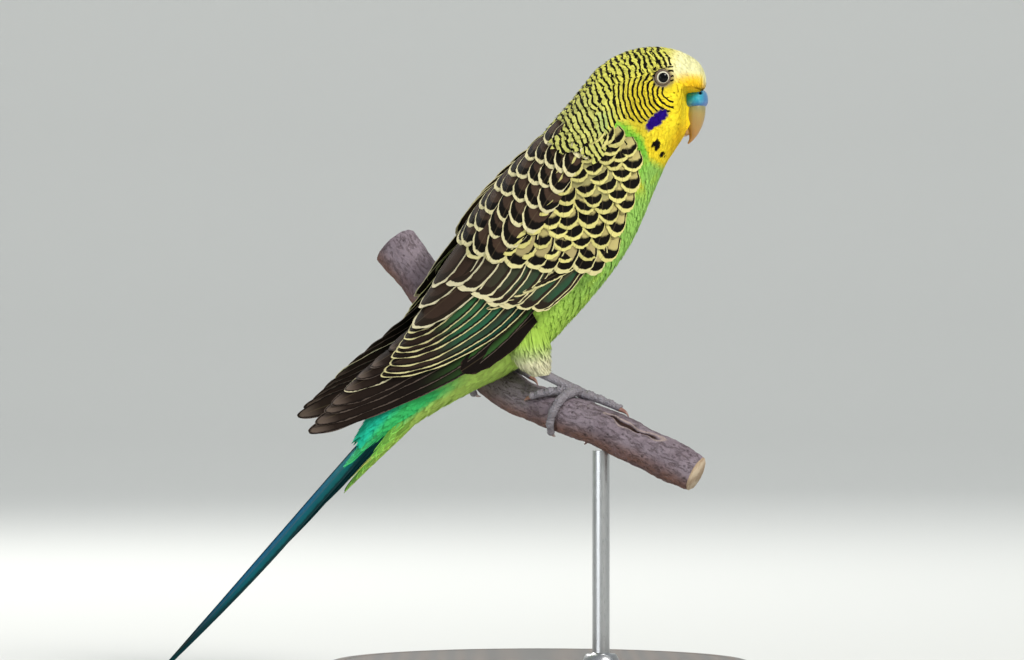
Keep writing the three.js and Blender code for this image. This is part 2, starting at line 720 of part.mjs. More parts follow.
function footSolid(name, grow = 0) {
  const foot = name === "right" ? FOOT_RIGHT : FOOT_LEFT;
  const middle = perchPoint(foot, name === "right" ? 0.02 : 0.0, TOE.start + 0.15 + GAP + 0.3);
  const knee = new THREE.Vector3(...LEGS[name][3].slice(0, 3));
  const shank = tube(
    [knee.clone().lerp(middle, 0.04), knee.clone().lerp(middle, 0.5), middle],
    [SHANK_RADIUS * 1.1 + grow, SHANK_RADIUS + grow, SHANK_RADIUS * 1.15 + grow],
    8,
  );
  const toes = TOES[name].map((toe) => toeSolid(foot, toe, middle, grow));
  const pad = ball(middle.x, middle.y, middle.z, 1.45 + grow, 1.35 + grow, 1.0 + grow, 0, 8, 5);
  return fuse([shank, pad, ...toes]);
}

// The hollow in the belly feathers that a foot fills: a wide stretch of the perch, and the shank.
function footRoom(name) {
  const foot = name === "right" ? FOOT_RIGHT : FOOT_LEFT;
  const rings = [-0.45, -0.1, 0.3, 0.85].map((step) => {
    const ring = [];
    for (let j = 0; j < 10; j += 1) ring.push(perchPoint(foot + step, (2 * Math.PI * j) / 10, 3.0));
    return ring;
  });
  const knee = new THREE.Vector3(...LEGS[name][3].slice(0, 3));
  return loft(rings).add(tube([perchPoint(foot, 0, 0.8), knee], [2.1, 2.1], 6));
}

function thighSolid(name, grow = 0) {
  const rows = LEGS[name];
  const points = [];
  const radii = [];
  const steps = 6;
  for (let i = 0; i <= steps; i += 1) {
    const [x, y, z, radius] = rowAt(rows, ((rows.length - 1) * i) / steps);
    points.push(new THREE.Vector3(x, y, z));
    radii.push(radius + grow);
  }
  return tube(points, radii, 12);
}

// Stand

function rodSolid() {
  const foot = BASE.height + GAP;
  const top = 80;
  const rod = new THREE.CylinderGeometry(ROD.radius, ROD.radius, top - foot, 12);
  rod.rotateX(Math.PI / 2);
  rod.translate(ROD.x, ROD.y, (top + foot) / 2);
  const collar = new THREE.CylinderGeometry(ROD.collar * 0.8, ROD.collar, ROD.collarHeight, 16);
  collar.rotateX(Math.PI / 2);
  collar.translate(ROD.x, ROD.y, foot + ROD.collarHeight / 2);
  const bare = solidFrom(rod).add(solidFrom(collar)).subtract(perchSolid(GAP));
  return bare.decompose().reduce((low, piece) => (piece.boundingBox().min[2] < low.boundingBox().min[2] ? piece : low));
}

function baseSolid() {
  const { radius, height, bevel } = BASE;
  const profile = [[0, 0], [radius - 0.6, 0], [radius, 0.6], [radius, height - bevel], [radius - bevel, height], [0, height]];
  const turned = new THREE.LatheGeometry(profile.map(([r, z]) => new THREE.Vector2(r, z)), 36);
  turned.rotateX(Math.PI / 2);
  return solidFrom(turned);
}

// Assembly

const bird = new THREE.Group();
const { upper, lower, cere } = billParts();
const perch = perchSolid();
const held = perchSolid(GAP);
const rooms = [wingRoom(1, 2 * GAP), wingRoom(-1, 2 * GAP)];
const thighs = [thighSolid("right"), thighSolid("left")];
const clearOfWings = (solid) => rooms.reduce((left, room) => left.subtract(room), solid);

bird.add(meshOf("head", headSolid(), 0xe8d84a, 0.8));
bird.add(meshOf("neck", clearOfWings(ribSolid(RIBS, HEAD_END + CUT, NECK_END, 4, 24)), 0xc8d860, 0.8));
const torso = clearOfWings(ribSolid(RIBS, NECK_END + CUT, TORSO_END, 13, 22))
  .subtract(thighSolid("right", GAP))
  .subtract(thighSolid("left", GAP))
  .subtract(held)
  .subtract(footRoom("left"));
bird.add(meshOf("torso", torso, 0x8ccf3c, 0.85));
bird.add(meshOf("tail", clearOfWings(tailSolid()).subtract(held), 0x1c7f80, 0.6));
bird.add(meshOf("wing_right", wingSolid(1), 0x6b6238, 0.6));
bird.add(meshOf("wing_left", wingSolid(-1).subtract(held), 0x6b6238, 0.6));
bird.add(meshOf("cere", cere, 0x2f78c8, 0.4));
bird.add(meshOf("bill_upper", upper, 0xb8a24a, 0.35));
bird.add(meshOf("bill_lower", lower, 0x8c7a3c, 0.4));
for (const [name, side] of [["right", 1], ["left", -1]]) {
  bird.add(meshOf("eye_" + name, eyeBall(side), 0x0c0b0b, 0.08));
  const others = clearOfWings(thighs[side > 0 ? 0 : 1]).subtract(held);
  bird.add(meshOf("thigh_" + name, others.subtract(footSolid(name, GAP)), 0xd8dca8, 0.9));
}
for (const name of ["right", "left"]) {
  bird.add(meshOf("foot_" + name, footSolid(name), 0x9c9aa6, 0.6));
  const foot = name === "right" ? FOOT_RIGHT : FOOT_LEFT;
  TOES[name].forEach((toe, i) => bird.add(meshOf(`claw_${name}_${i + 1}`, clawSolid(foot, toe), 0x6a5048, 0.4)));
}
bird.add(meshOf("perch", perch, 0x8c7f80, 0.9));
bird.add(meshOf("stand_rod", rodSolid(), 0x8a8d90, 0.3, 0.9));
bird.add(meshOf("stand_base", baseSolid(), 0x4c3424, 0.5));

export default bird;
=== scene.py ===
import math

import bpy
import numpy as np
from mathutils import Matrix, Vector


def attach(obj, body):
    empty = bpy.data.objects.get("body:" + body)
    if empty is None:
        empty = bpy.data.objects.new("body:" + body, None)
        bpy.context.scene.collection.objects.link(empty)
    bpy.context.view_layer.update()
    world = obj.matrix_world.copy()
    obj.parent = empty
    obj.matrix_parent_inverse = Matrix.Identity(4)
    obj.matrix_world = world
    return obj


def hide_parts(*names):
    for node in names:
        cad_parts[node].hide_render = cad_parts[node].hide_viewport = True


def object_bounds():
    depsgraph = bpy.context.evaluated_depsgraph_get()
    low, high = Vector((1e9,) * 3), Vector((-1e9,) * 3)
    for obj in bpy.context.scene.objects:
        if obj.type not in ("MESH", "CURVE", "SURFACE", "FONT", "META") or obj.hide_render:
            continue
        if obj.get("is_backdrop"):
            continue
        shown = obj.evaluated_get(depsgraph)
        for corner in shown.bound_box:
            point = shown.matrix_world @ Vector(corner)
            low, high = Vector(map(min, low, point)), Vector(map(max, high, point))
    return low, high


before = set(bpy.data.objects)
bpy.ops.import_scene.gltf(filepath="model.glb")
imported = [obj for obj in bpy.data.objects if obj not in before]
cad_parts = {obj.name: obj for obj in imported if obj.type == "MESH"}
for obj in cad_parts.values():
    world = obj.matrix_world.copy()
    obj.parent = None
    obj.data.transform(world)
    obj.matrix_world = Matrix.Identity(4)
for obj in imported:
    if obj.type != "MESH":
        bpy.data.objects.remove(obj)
CAD_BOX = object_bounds()

# Sizes are in millimetres until a mesh is made. The bird looks along +X and +Z is up.
MM = 0.001
rng = np.random.default_rng(11)

# Ribs of the body from bill to tail: top point, bottom point and half the width
RIBS = np.array([
    [37.0, 138.6, 37.0, 138.6, 0], [38.3, 141.6, 34.9, 133.7, 4.8], [38.7, 144.4, 33.3, 130.7, 7.3],
    [37.4, 147.7, 31.8, 128.4, 8.9], [34.4, 150.1, 30.5, 126.4, 9.9], [30.2, 151.6, 29.3, 124.4, 10.5],
    [24.6, 151.9, 28.2, 121.9, 10.8], [18.4, 150.3, 27.0, 119.1, 11.1], [13.0, 146.7, 25.8, 116.2, 11.8],
    [8.5, 141.2, 24.2, 112.2, 12.9], [2.8, 134.6, 21.8, 106.9, 14.2], [-4.2, 126.2, 17.9, 100.6, 15.2],
    [-10.2, 117.2, 13.2, 94.6, 15.4], [-16.4, 107.2, 7.4, 88.0, 14.6], [-21.6, 97.4, 1.0, 81.4, 13.0],
    [-26.4, 87.8, -7.0, 75.8, 10.8], [-31.6, 79.2, -16.2, 71.2, 8.6], [-37.0, 71.4, -25.6, 65.9, 6.6],
    [-41.8, 64.4, -33.6, 60.2, 4.9], [-44.9, 59.3, -38.6, 55.2, 3.4],
])
# How square a rib is: 2 is an ellipse
SECTION_POWER = 2.15
LAST_RIB = len(RIBS) - 1

# The two halves of the bill, in ribs of the same kind
UPPER_BILL = [
    [37.9, 139.6, 34.4, 138.9, 2.5], [38.5, 137.8, 33.9, 136.8, 2.8], [38.4, 136.0, 33.8, 134.9, 2.6],
    [37.9, 133.9, 34.1, 133.2, 2.1], [36.9, 131.7, 34.5, 131.9, 1.5], [35.7, 130.2, 34.7, 130.6, 0.8],
    [34.6, 129.2, 34.3, 129.4, 0.25],
]
LOWER_BILL = [
    [33.2, 135.2, 31.4, 132.4, 2.2], [34.2, 133.6, 32.6, 131.2, 2.2], [34.7, 132.5, 33.6, 130.9, 1.8],
    [34.9, 131.8, 34.5, 131.3, 0.9],
]
# Places on the head in the drawing plane, and how far out the eyes lie
CERE = (36.1, 139.9)
NOSTRIL = (37.2, 141.0)
EYE = (28.3, 144.3)
EYE_OUT = 7.3
EYE_RADIUS = 2.3

# The wing starts at the wrist. The left one is turned so that its tip lies a little higher
WRIST = (21.4, 122.0)
WING_ANGLE = math.radians(218.5)
LEFT_WING_LIFT = math.radians(-2.6)
# The wing's inner face: place along it, middle, rise, drop and half the depth
SHELL = np.array([
    [
        -4, 8.6, 13.0, 20, 10.6,
    ], [6, 5.8, 13.6, 22, 13.2], [15, 2.8, 15.0, 24, 14.3], [30, 0.2, 14.9, 24, 14.3],
    [
        45, -3.4, 13.4, 22, 12.6,
    ], [60, -4.6, 10.0, 18, 9.8], [73, -3.6, 8.4, 14, 7.2], [85, -2.0, 7.0, 12, 4.6],
    [102, -0.5, 6.0, 10, 2.3],
])
# The arm: place along the wing, upper edge and lower edge
ARM = np.array([
    [0.2, 2.0, 7.4], [3, -3.0, 10.8], [8, -6.4, 14.2], [
        16, -10.4, 16.4,
    ], [25, -11.2, 15.4], [35, -10.0, 13.0],
    [46, -7.4, 8.6], [58, -5.0, 4.0],
])

TAIL_ROOT = (-33.0, 68.6)
TAIL_ANGLE = math.radians(229)

# The perch: middle and radius. Feet stand at places along it
PERCH = np.array([
    [-34.0, 28.5, 106.0, 5.6], [-26.6, 24.0, 96.4, 5.3], [-19.6, 19.6, 86.6, 5.1], [-12.6, 13.2, 76.4, 4.8],
    [-5.0, 4.8, 70.6, 4.5], [4.4, -5.0, 67.0, 4.6], [14.6, -11.4, 63.4, 4.8], [24.8, -16.2, 58.6, 4.7],
    [35.6, -20.4, 53.0, 4.5],
])
FOOT = {"right": 5.28, "left": 3.28}
# Toes: first and last place along the perch from the foot, first and last turn round it in degrees
TOES = {
    "right": [
        [0.02, 0.84, -8, -22], [0.05, 0.3, -30, -138], [-0.05, -0.16, 24, 142], [-0.1, -0.62, 10, 62],
    ],
    "left": [[0.05, 0.72, 0, -28], [0.05, 0.24, -30, -136], [-0.05, -0.1, 30, 146], [-0.1, -0.55, -6, -66]],
}
# Thighs: middle and radius from hip to ankle
LEGS = {
    "right": np.array(
        [[-3.4, -6.6, 87.0, 5.4], [-2.4, -6.8, 81.0, 4.9], [-0.8, -6.7, 77.2, 3.3], [0.6, -6.5, 75.4, 1.9]]
    ),
    "left": np.array(
        [[-11.6, 5.4, 88.0, 5.0], [-12.0, 6.6, 85.2, 4.6], [-12.2, 7.4, 83.6, 3.2], [-12.3, 8.0, 82.6, 1.9]]
    ),
}


# Curves

def lerp(a, b, t):
    """The value at share t of the way from a to b."""
    return a + (b - a) * t


def smooth(low, high, v):
    """A soft step: 0 at low, 1 at high."""
    t = np.clip((np.asarray(v, float) - low) / (high - low), 0, 1)
    return t * t * (3 - 2 * t)


def curve(rows, s):
    """A smooth line through the rows, read at s rows from the first."""
    rows = np.asarray(rows, float)
    last = len(rows) - 1
    s = np.clip(np.asarray(s, float), 0, last)
    i = np.clip(np.floor(s).astype(int), 0, last - 1)
    t = (s - i)[..., None]
    p, q, r, v = rows[np.maximum(i - 1, 0)], rows[i], rows[i + 1], rows[np.minimum(i + 2, last)]
    return 0.5 * (
        2 * q + (r - p) * t + (2 * p - 5 * q + 4 * r - v) * t * t + (3 * q - p - 3 * r + v) * t ** 3
    )


def curve_by(rows, value):
    """The same line, read where its first number has this value."""
    first = rows[:, 0]
    value = np.asarray(value, float)
    i = np.clip(np.searchsorted(first, value, side="left") - 1, 0, len(rows) - 2)
    return curve(rows, i + np.clip((value - first[i]) / (first[i + 1] - first[i]), 0, 1))


def read_off(table, value):
    """The second number of a table of pairs where the first has this value."""
    first, second = zip(*table)
    return np.interp(value, first, second)


def unit(v):
    return v / np.maximum(np.linalg.norm(v, axis=-1, keepdims=True), 1e-9)


def waves(p, scale, seed):
    """Smooth noise from a few crossed waves, between about -1 and 1."""
    made = np.random.default_rng(seed)
    total = np.zeros(p.shape[:-1])
    for k in range(7):
        way = made.normal(size=3)
        total += np.sin(p @ way * scale * (0.6 + 0.2 * k) + made.uniform(0, 6.3))
    return total / 3.2


# Surfaces: each takes two coordinates and a height above it

def rib_point(ribs, s, angle, grow=0.0):
    ax, az, bx, bz, half = np.moveaxis(curve(ribs, s), -1, 0)
    depth = np.hypot(ax - bx, az - bz) / 2
    safe = np.maximum(depth, 1e-6)
    ux, uz = (ax - bx) / 2 / safe, (az - bz) / 2 / safe
    bulge = lambda v: np.sign(v) * np.abs(v) ** (2 / SECTION_POWER)
    up = bulge(np.cos(angle)) * (depth + grow * (depth > 1e-6))
    out = bulge(np.sin(angle)) * (half + grow * (half > 1e-6))
    return np.stack([(ax + bx) / 2 + ux * up, -out, (az + bz) / 2 + uz * up], -1)


def body(s, angle, grow=0.0):
    """The body's outside. It steps in behind the bill and the cere, and dips round the eyes."""
    p = rib_point(RIBS, s, angle, grow)
    x, y, z = p[..., 0], p[..., 1], p[..., 2]
    dent = smooth(32.4, 34.2, x) * smooth(142.3, 140.9, z) * smooth(128.0, 131.0, z)
    y = y * (1 - dent) + dent * 2.0 * np.tanh(y / 2.0)
    away = np.hypot(x - EYE[0], z - EYE[1])
    most = 8.75 + 0.55 * np.maximum(0, away - 1.7) + 40 * (x < 20)
    y = np.clip(y, -most, most)
    return np.stack([x - dent * 1.2 * smooth(36.5, 38.2, x), y, z], -1)


class Wing:
    """The wing's inner face. Side is 1 on the right and -1 on the left."""

    def __init__(self, side):
        self.side = side
        turned = WING_ANGLE + (0 if side > 0 else LEFT_WING_LIFT)
        self.along = (math.cos(turned), math.sin(turned))

    def place(self, x, z):
        dx, dz = x - WRIST[0], z - WRIST[1]
        return (
            dx * math.cos(WING_ANGLE) + dz * math.sin(WING_ANGLE),
            dx * math.sin(WING_ANGLE) - dz * math.cos(WING_ANGLE),
        )

    def wrap(self, a, b, height, limit=0.9):
        _, middle, rise, drop, _ = np.moveaxis(curve_by(SHELL, a), -1, 0)
        reach = np.where(b > middle, rise, drop)
        return reach * np.arcsin(np.clip((b - middle) / (reach + height), -limit, limit))

    def __call__(self, a, w, height=0.0):
        _, middle, rise, drop, half = np.moveaxis(curve_by(SHELL, a), -1, 0)
        reach = np.where(w > 0, rise, drop)
        turn = w / reach
        slope = np.stack([np.sin(turn) / reach, np.cos(turn) / half], -1)
        size = np.linalg.norm(slope, axis=-1)
        b = middle + reach * np.sin(turn) + height * slope[..., 0] / size
        y = half * np.cos(turn) + height * slope[..., 1] / size
        c, d = self.along
        return np.stack([WRIST[0] + a * c + b * d, -self.side * y, WRIST[1] + a * d - b * c], -1)


def tail_point(along, out, up):
    c, d = math.cos(TAIL_ANGLE), math.sin(TAIL_ANGLE)
    return np.stack(
        [TAIL_ROOT[0] + along * c + up * d, out + 0 * along, TAIL_ROOT[1] + along * d - up * c], -1,
    )


def perch_frame(t):
    near = lambda v: curve(PERCH, v)[..., :3]
    along = unit(near(np.minimum(t + 0.02, 8)) - near(np.maximum(t - 0.02, 0)))
    side = unit(np.cross(along, [0, 0, 1]))
    top = np.cross(side, along)
    row = curve(PERCH, t)
    return row[..., :3], along, side, top, row[..., 3]


def bark(t, angle):
    held = np.minimum(1, np.minimum(np.abs(t - FOOT["right"] + 0.1), np.abs(t - FOOT["left"])) / 0.9)
    return 0.28 * held * (
        np.sin(3 * angle + 1.7 * t) * 0.5 + np.sin(5.1 * t + 0.8) * 0.7 + np.sin(2 * angle - 3.3 * t) * 0.6
    )


def perch_point(t, angle, out=0.0):
    t, angle = np.broadcast_arrays(np.asarray(t, float), np.asarray(angle, float))
    middle, _, side, top, radius = perch_frame(t)
    reach = (radius + out)[..., None]
    return middle + top * np.cos(angle)[..., None] * reach + side * np.sin(angle)[..., None] * reach


# Meshes

def make(
    name, points, faces, slot, material, replaces=(), colours=None, values=None, uv=None, normals=None,
):
    """A mesh object from arrays in millimetres. Colours and values are per point."""
    mesh = bpy.data.meshes.new(name)
    faces = faces.tolist() if isinstance(faces, np.ndarray) else [list(map(int, f)) for f in faces]
    mesh.from_pydata((np.asarray(points) * MM).tolist(), [], faces)
    for key, data in (colours or {}).items():
        layer = mesh.attributes.new(key, "FLOAT_COLOR", "POINT")
        full = np.ones((len(data), 4), np.float32)
        full[:, :3] = data
        layer.data.foreach_set("color", full.ravel())
    for key, data in (values or {}).items():
        data = np.asarray(data, np.float32)
        kind = "FLOAT" if data.ndim == 1 else "FLOAT_VECTOR"
        layer = mesh.attributes.new(key, kind, "POINT")
        layer.data.foreach_set("value" if data.ndim == 1 else "vector", data.ravel())
    if uv is not None:
        corners = np.empty(len(mesh.loops), np.int32)
        mesh.loops.foreach_get("vertex_index", corners)
        layer = mesh.uv_layers.new(name="OFBake")
        layer.data.foreach_set("uv", np.asarray(uv, np.float32)[corners].ravel())
    mesh.polygons.foreach_set("use_smooth", [True] * len(mesh.polygons))
    if normals is not None:
        mesh.normals_split_custom_set_from_vertices(unit(normals).tolist())
    piece = bpy.data.objects.new(name, mesh)
    bpy.context.collection.objects.link(piece)
    mesh.materials.append(material)
    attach(piece, "root")
    if replaces:
        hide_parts(*replaces)
    return piece


def grid_faces(rows, columns, closed=False):
    """Faces of a grid of points, row by row. A closed one joins its last column to its first."""
    faces = []
    for i in range(rows - 1):
        for j in range(columns if closed else columns - 1):
            a, b = i * columns + j, i * columns + (j + 1) % columns
            faces.append((a, b, b + columns, a + columns))
    return faces


def capped(rings):
    """Points and faces of a closed form through rings of points."""
    rings = np.asarray(rings, float)
    rows, around = rings.shape[:2]
    points = np.concatenate([rings.reshape(-1, 3), rings[:1].mean(1), rings[-1:].mean(1)])
    faces = grid_faces(rows, around, True)
    for j in range(around):
        k = (j + 1) % around
        faces.append((k, j, rows * around))
        faces.append(((rows - 1) * around + j, (rows - 1) * around + k, rows * around + 1))
    return points, outward(points, faces)


def outward(points, faces):
    """The faces turned so that the closed form they bound has a positive volume."""
    volume = 0.0
    for f in faces:
        for k in range(1, len(f) - 1):
            volume += np.dot(points[f[0]], np.cross(points[f[k]], points[f[k + 1]]))
    return [tuple(reversed(f)) for f in faces] if volume < 0 else faces


def facing(points, faces, normals):
    """The faces turned as a whole so that most of them look along the normals."""
    own = np.cross(points[faces[:, 1]] - points[faces[:, 0]], points[faces[:, 2]] - points[faces[:, 0]])
    return faces if np.sum(unit(own) * unit(normals[faces[:, 0]])) > 0 else faces[:, ::-1]


def joined(parts):
    """Several forms as one."""
    points, faces, base = [], [], 0
    for p, f in parts:
        points.append(p)
        faces += [tuple(i + base for i in face) for face in f]
        base += len(p)
    return np.concatenate(points), faces


def tube(centres, radii, around):
    """A closed tube along a line of points."""
    centres = np.asarray(centres, float)
    along = unit(np.gradient(centres, axis=0))
    start = np.array([0, 1.0, 0]) if abs(along[0][1]) < 0.9 else np.array([1.0, 0, 0])
    rings = []
    u = unit(np.cross(along[0], start))
    for c, d, r in zip(centres, along, radii):
        u = unit(u - d * np.dot(u, d))
        v = np.cross(d, u)
        turn = np.arange(around) * 2 * math.pi / around
        rings.append(c + r * (np.cos(turn)[:, None] * u + np.sin(turn)[:, None] * v))
    return capped(rings)


# Materials

class Graph:
    """A material's nodes, with short calls for the ones used often."""

    def __init__(self, name, roughness=0.6, metallic=0.0, coat=0.0, specular=0.5):
        self.material = bpy.data.materials.new(name)
        self.material.use_nodes = True
        self.tree = self.material.node_tree
        self.tree.nodes.clear()
        self.shader = self.node("ShaderNodeBsdfPrincipled")
        out = self.node("ShaderNodeOutputMaterial")
        self.tree.links.new(self.shader.outputs[0], out.inputs[0])
        self.set("Roughness", roughness)
        self.set("Metallic", metallic)
        self.set("Coat Weight", coat)
        self.set("Specular IOR Level", specular)

    def node(self, kind, **values):
        node = self.tree.nodes.new(kind)
        for key, value in values.items():
            setattr(node, key, value)
        return node

    def set(self, name, value):
        socket = self.shader.inputs[name]
        if isinstance(value, bpy.types.NodeSocket):
            self.tree.links.new(value, socket)
        else:
            socket.default_value = value

    def put(self, socket, value):
        if isinstance(value, bpy.types.NodeSocket):
            self.tree.links.new(value, socket)
        elif isinstance(value, (tuple, list)) and len(value) == 3 and socket.type == "RGBA":
            socket.default_value = (*value, 1)
        else:
            socket.default_value = value

    def math(self, operation, a, b=0.0):
        node = self.node("ShaderNodeMath", operation=operation)
        self.put(node.inputs[0], a)
        self.put(node.inputs[1], b)
        return node.outputs[0]

    def step(self, value, low, high, to_low=0.0, to_high=1.0):
        node = self.node("ShaderNodeMapRange", interpolation_type="SMOOTHSTEP")
        for i, v in enumerate((value, low, high, to_low, to_high)):
            self.put(node.inputs[i], v)
        return node.outputs[0]

    def mix(self, share, a, b):
        node = self.node("ShaderNodeMix", data_type="RGBA")
        self.put(node.inputs[0], share)
        self.put(node.inputs[6], a)
        self.put(node.inputs[7], b)
        return node.outputs[2]

    def place(self, scale=(1, 1, 1)):
        coordinates = self.node("ShaderNodeTexCoord")
        mapping = self.node("ShaderNodeMapping")
        self.tree.links.new(coordinates.outputs["Object"], mapping.inputs["Vector"])
        mapping.inputs["Scale"].default_value = scale
        return mapping.outputs[0]

    def noise(self, scale, detail=3.0, rough=0.55, where=None, warp=0.0):
        node = self.node("ShaderNodeTexNoise")
        self.tree.links.new(where or self.place(), node.inputs["Vector"])
        node.inputs["Scale"].default_value = scale
        node.inputs["Detail"].default_value = detail
        node.inputs["Roughness"].default_value = rough
        node.inputs["Distortion"].default_value = warp
        return node.outputs["Fac"]

    def attribute(self, name, output="Color"):
        return self.node("ShaderNodeAttribute", attribute_name=name).outputs[output]

    def split(self, vector):
        node = self.node("ShaderNodeSeparateXYZ")
        self.tree.links.new(vector, node.inputs[0])
        return node.outputs

    def bump(self, height, strength, distance):
        node = self.node("ShaderNodeBump")
        self.put(node.inputs["Height"], height)
        node.inputs["Strength"].default_value = strength
        node.inputs["Distance"].default_value = distance
        self.tree.links.new(node.outputs[0], self.shader.inputs["Normal"])

    def times(self, value, amount):
        return self.math("MULTIPLY", value, amount)

    def varied(self, noise, amount):
        """A noise moved so that it swings about zero, times an amount."""
        return self.times(self.math("SUBTRACT", noise, 0.5), amount)

    def reach(self, x, z, middle):
        """Distance in the drawing plane from a place given in millimetres."""
        dx = self.math("SUBTRACT", x, middle[0] * MM)
        dz = self.math("SUBTRACT", z, middle[1] * MM)
        return self.math("SQRT", self.math("ADD", self.times(dx, dx), self.times(dz, dz)))


def plumage(name):
    """Small feathers: a colour of their own, and black bars over it from a phase and a strength."""
    g = Graph(name, roughness=0.8, specular=0.05)
    barbs = g.split(g.attribute("barbs", "Vector"))
    bars = g.split(g.attribute("bars", "Vector"))
    fine = g.noise(900, detail=3, rough=0.6)
    wobble = g.varied(g.noise(800, detail=2, rough=0.5), 0.5)
    marks = []
    for family in (bars, g.split(g.attribute("arcs", "Vector"))):
        phase, strength, share = family
        wave = g.math("SINE", g.times(g.math("ADD", phase, wobble), 2 * math.pi))
        mark = g.step(wave, share, g.math("ADD", share, 0.35))
        marks.append(g.times(mark, g.step(strength, 0.3, 0.6)))
    black = g.math("MAXIMUM", marks[0], marks[1])
    slant = g.math("SUBTRACT", barbs[1], g.times(g.math("ABSOLUTE", barbs[0]), 1.1))
    streak = g.math("SINE", g.times(slant, 24.0))
    shade = g.math("ADD", g.times(streak, 0.05), g.varied(fine, 0.45))
    lit = g.node("ShaderNodeHueSaturation")
    g.put(lit.inputs["Color"], g.attribute("tint"))
    g.put(lit.inputs["Value"], g.math("ADD", 1.0, shade))
    g.set("Base Color", g.mix(black, lit.outputs[0], (0.008, 0.007, 0.005)))
    g.bump(g.math("ADD", g.times(streak, 0.5), fine), strength=0.35, distance=0.0002)
    return g.material


def vane_material(name):
    """Large feathers: an inner colour, a band inside the edge, a fringe, barbs and a shaft."""
    g = Graph(name, roughness=0.65, specular=0.05)
    edge = g.split(g.attribute("edge", "Vector"))
    barbs = g.split(g.attribute("barbs", "Vector"))
    across = g.math("ABSOLUTE", barbs[0])
    ragged = g.varied(g.noise(1100, detail=3, rough=0.6), 0.8)
    distance = g.math("ADD", edge[0], ragged)
    phase = g.math("SUBTRACT", barbs[1], g.times(across, 1.3))
    streak = g.math("SINE", g.times(phase, 17.0))
    broken = g.noise(300, detail=2, rough=0.6)
    shade = g.times(streak, g.times(broken, 0.16))
    fringe = g.step(distance, edge[1], g.math("ADD", edge[1], 0.22), to_low=1, to_high=0)
    limit = g.math("ADD", edge[1], edge[2])
    band = g.step(distance, limit, g.math("ADD", limit, 0.6), to_low=1, to_high=0)
    colour = g.mix(band, g.attribute("inner"), g.attribute("band"))
    colour = g.mix(fringe, colour, g.attribute("fringe"))
    shaft = g.step(across, 0.06, 0.16, to_low=0.55, to_high=0)
    lit = g.node("ShaderNodeHueSaturation")
    g.put(lit.inputs["Color"], colour)
    patches = g.varied(g.noise(160, detail=3, rough=0.6), 0.4)
    g.put(lit.inputs["Value"], g.math("ADD", g.math("ADD", 1.0, shade), patches))
    g.set("Base Color", g.mix(shaft, lit.outputs[0], g.mix(0.5, lit.outputs[0], (0.12, 0.09, 0.05))))
    g.bump(g.math("ADD", g.times(streak, 0.6), g.times(shaft, 2.0)), strength=0.35, distance=0.00012)
    return g.material


def bill_material():
    g = Graph("bill_horn", roughness=0.34, coat=0.15)
    z = g.split(g.place())[2]
    height = g.step(z, 0.1292, 0.1400)
    streaks = g.noise(260, detail=4, rough=0.6, where=g.place((3.0, 3.0, 0.7)))
    colour = g.mix(height, (0.52, 0.23, 0.04), (0.42, 0.36, 0.12))
    colour = g.mix(g.step(z, 0.1362, 0.1378), colour, (0.30, 0.31, 0.16))
    colour = g.mix(g.times(streaks, 0.55), colour, (0.20, 0.15, 0.06))
    g.set("Base Color", colour)
    g.set("Subsurface Weight", 0.15)
    g.set("Subsurface Radius", (0.002, 0.001, 0.0006))
    g.bump(streaks, strength=0.25, distance=0.0003)
    return g.material


def cere_material():
    g = Graph("cere_skin", roughness=0.38, coat=0.1)
    x, _, z = g.split(g.place())
    blotch = g.noise(700, detail=4, rough=0.6)
    share = g.step(g.math("ADD", z, g.times(blotch, 0.0012)), 0.1384, 0.1404)
    colour = g.mix(share, (0.03, 0.15, 0.42), (0.010, 0.36, 0.48))
    colour = g.mix(g.step(x, 0.0368, 0.0386, to_low=0, to_high=0.7), colour, (0.10, 0.13, 0.36))
    colour = g.mix(g.step(z, 0.1375, 0.1382, to_low=0.8, to_high=0), colour, (0.40, 0.52, 0.56))
    colour = g.mix(g.times(g.step(blotch, 0.45, 0.75), 0.3), colour, (0.30, 0.55, 0.70))
    hole = g.reach(x, z, NOSTRIL)
    colour = g.mix(g.step(hole, 0.00022, 0.00040, to_low=1, to_high=0), colour, (0.012, 0.012, 0.015))
    g.set("Base Color", colour)
    g.set("Subsurface Weight", 0.2)
    g.set("Subsurface Radius", (0.001, 0.001, 0.0015))
    g.bump(g.noise(2600, detail=3, rough=0.6), strength=0.4, distance=0.0001)
    return g.material


def eye_material():
    g = Graph("eye_ball", roughness=0.05, specular=0.12)
    x, _, z = g.split(g.place())
    radius = g.reach(x, z, (EYE[0] + 0.12, EYE[1] - 0.05))
    rays = g.noise(2600, detail=3, rough=0.6)
    iris = g.mix(g.times(rays, 0.8), (0.86, 0.82, 0.66), (0.50, 0.46, 0.32))
    ring = g.step(radius, 0.00112, 0.00119)
    colour = g.mix(ring, (0.004, 0.004, 0.005), iris)
    colour = g.mix(g.step(radius, 0.00142, 0.00150), colour, (0.05, 0.04, 0.035))
    g.set("Base Color", colour)
    return g.material


def skin_material(name, pale, dark, rough, scale, depth):
    g = Graph(name, roughness=rough, coat=0.05)
    spots = g.noise(scale, detail=4, rough=0.65)
    cells = g.node("ShaderNodeTexVoronoi")
    g.tree.links.new(g.place(), cells.inputs["Vector"])
    cells.inputs["Scale"].default_value = scale * 1.3
    cracks = g.step(cells.outputs["Distance"], 0.25, 0.6)
    colour = g.mix(spots, pale, dark)
    colour = g.mix(g.times(cracks, 0.4), colour, dark)
    g.set("Base Color", colour)
    g.bump(g.math("SUBTRACT", spots, cracks), strength=0.5, distance=depth)
    return g.material


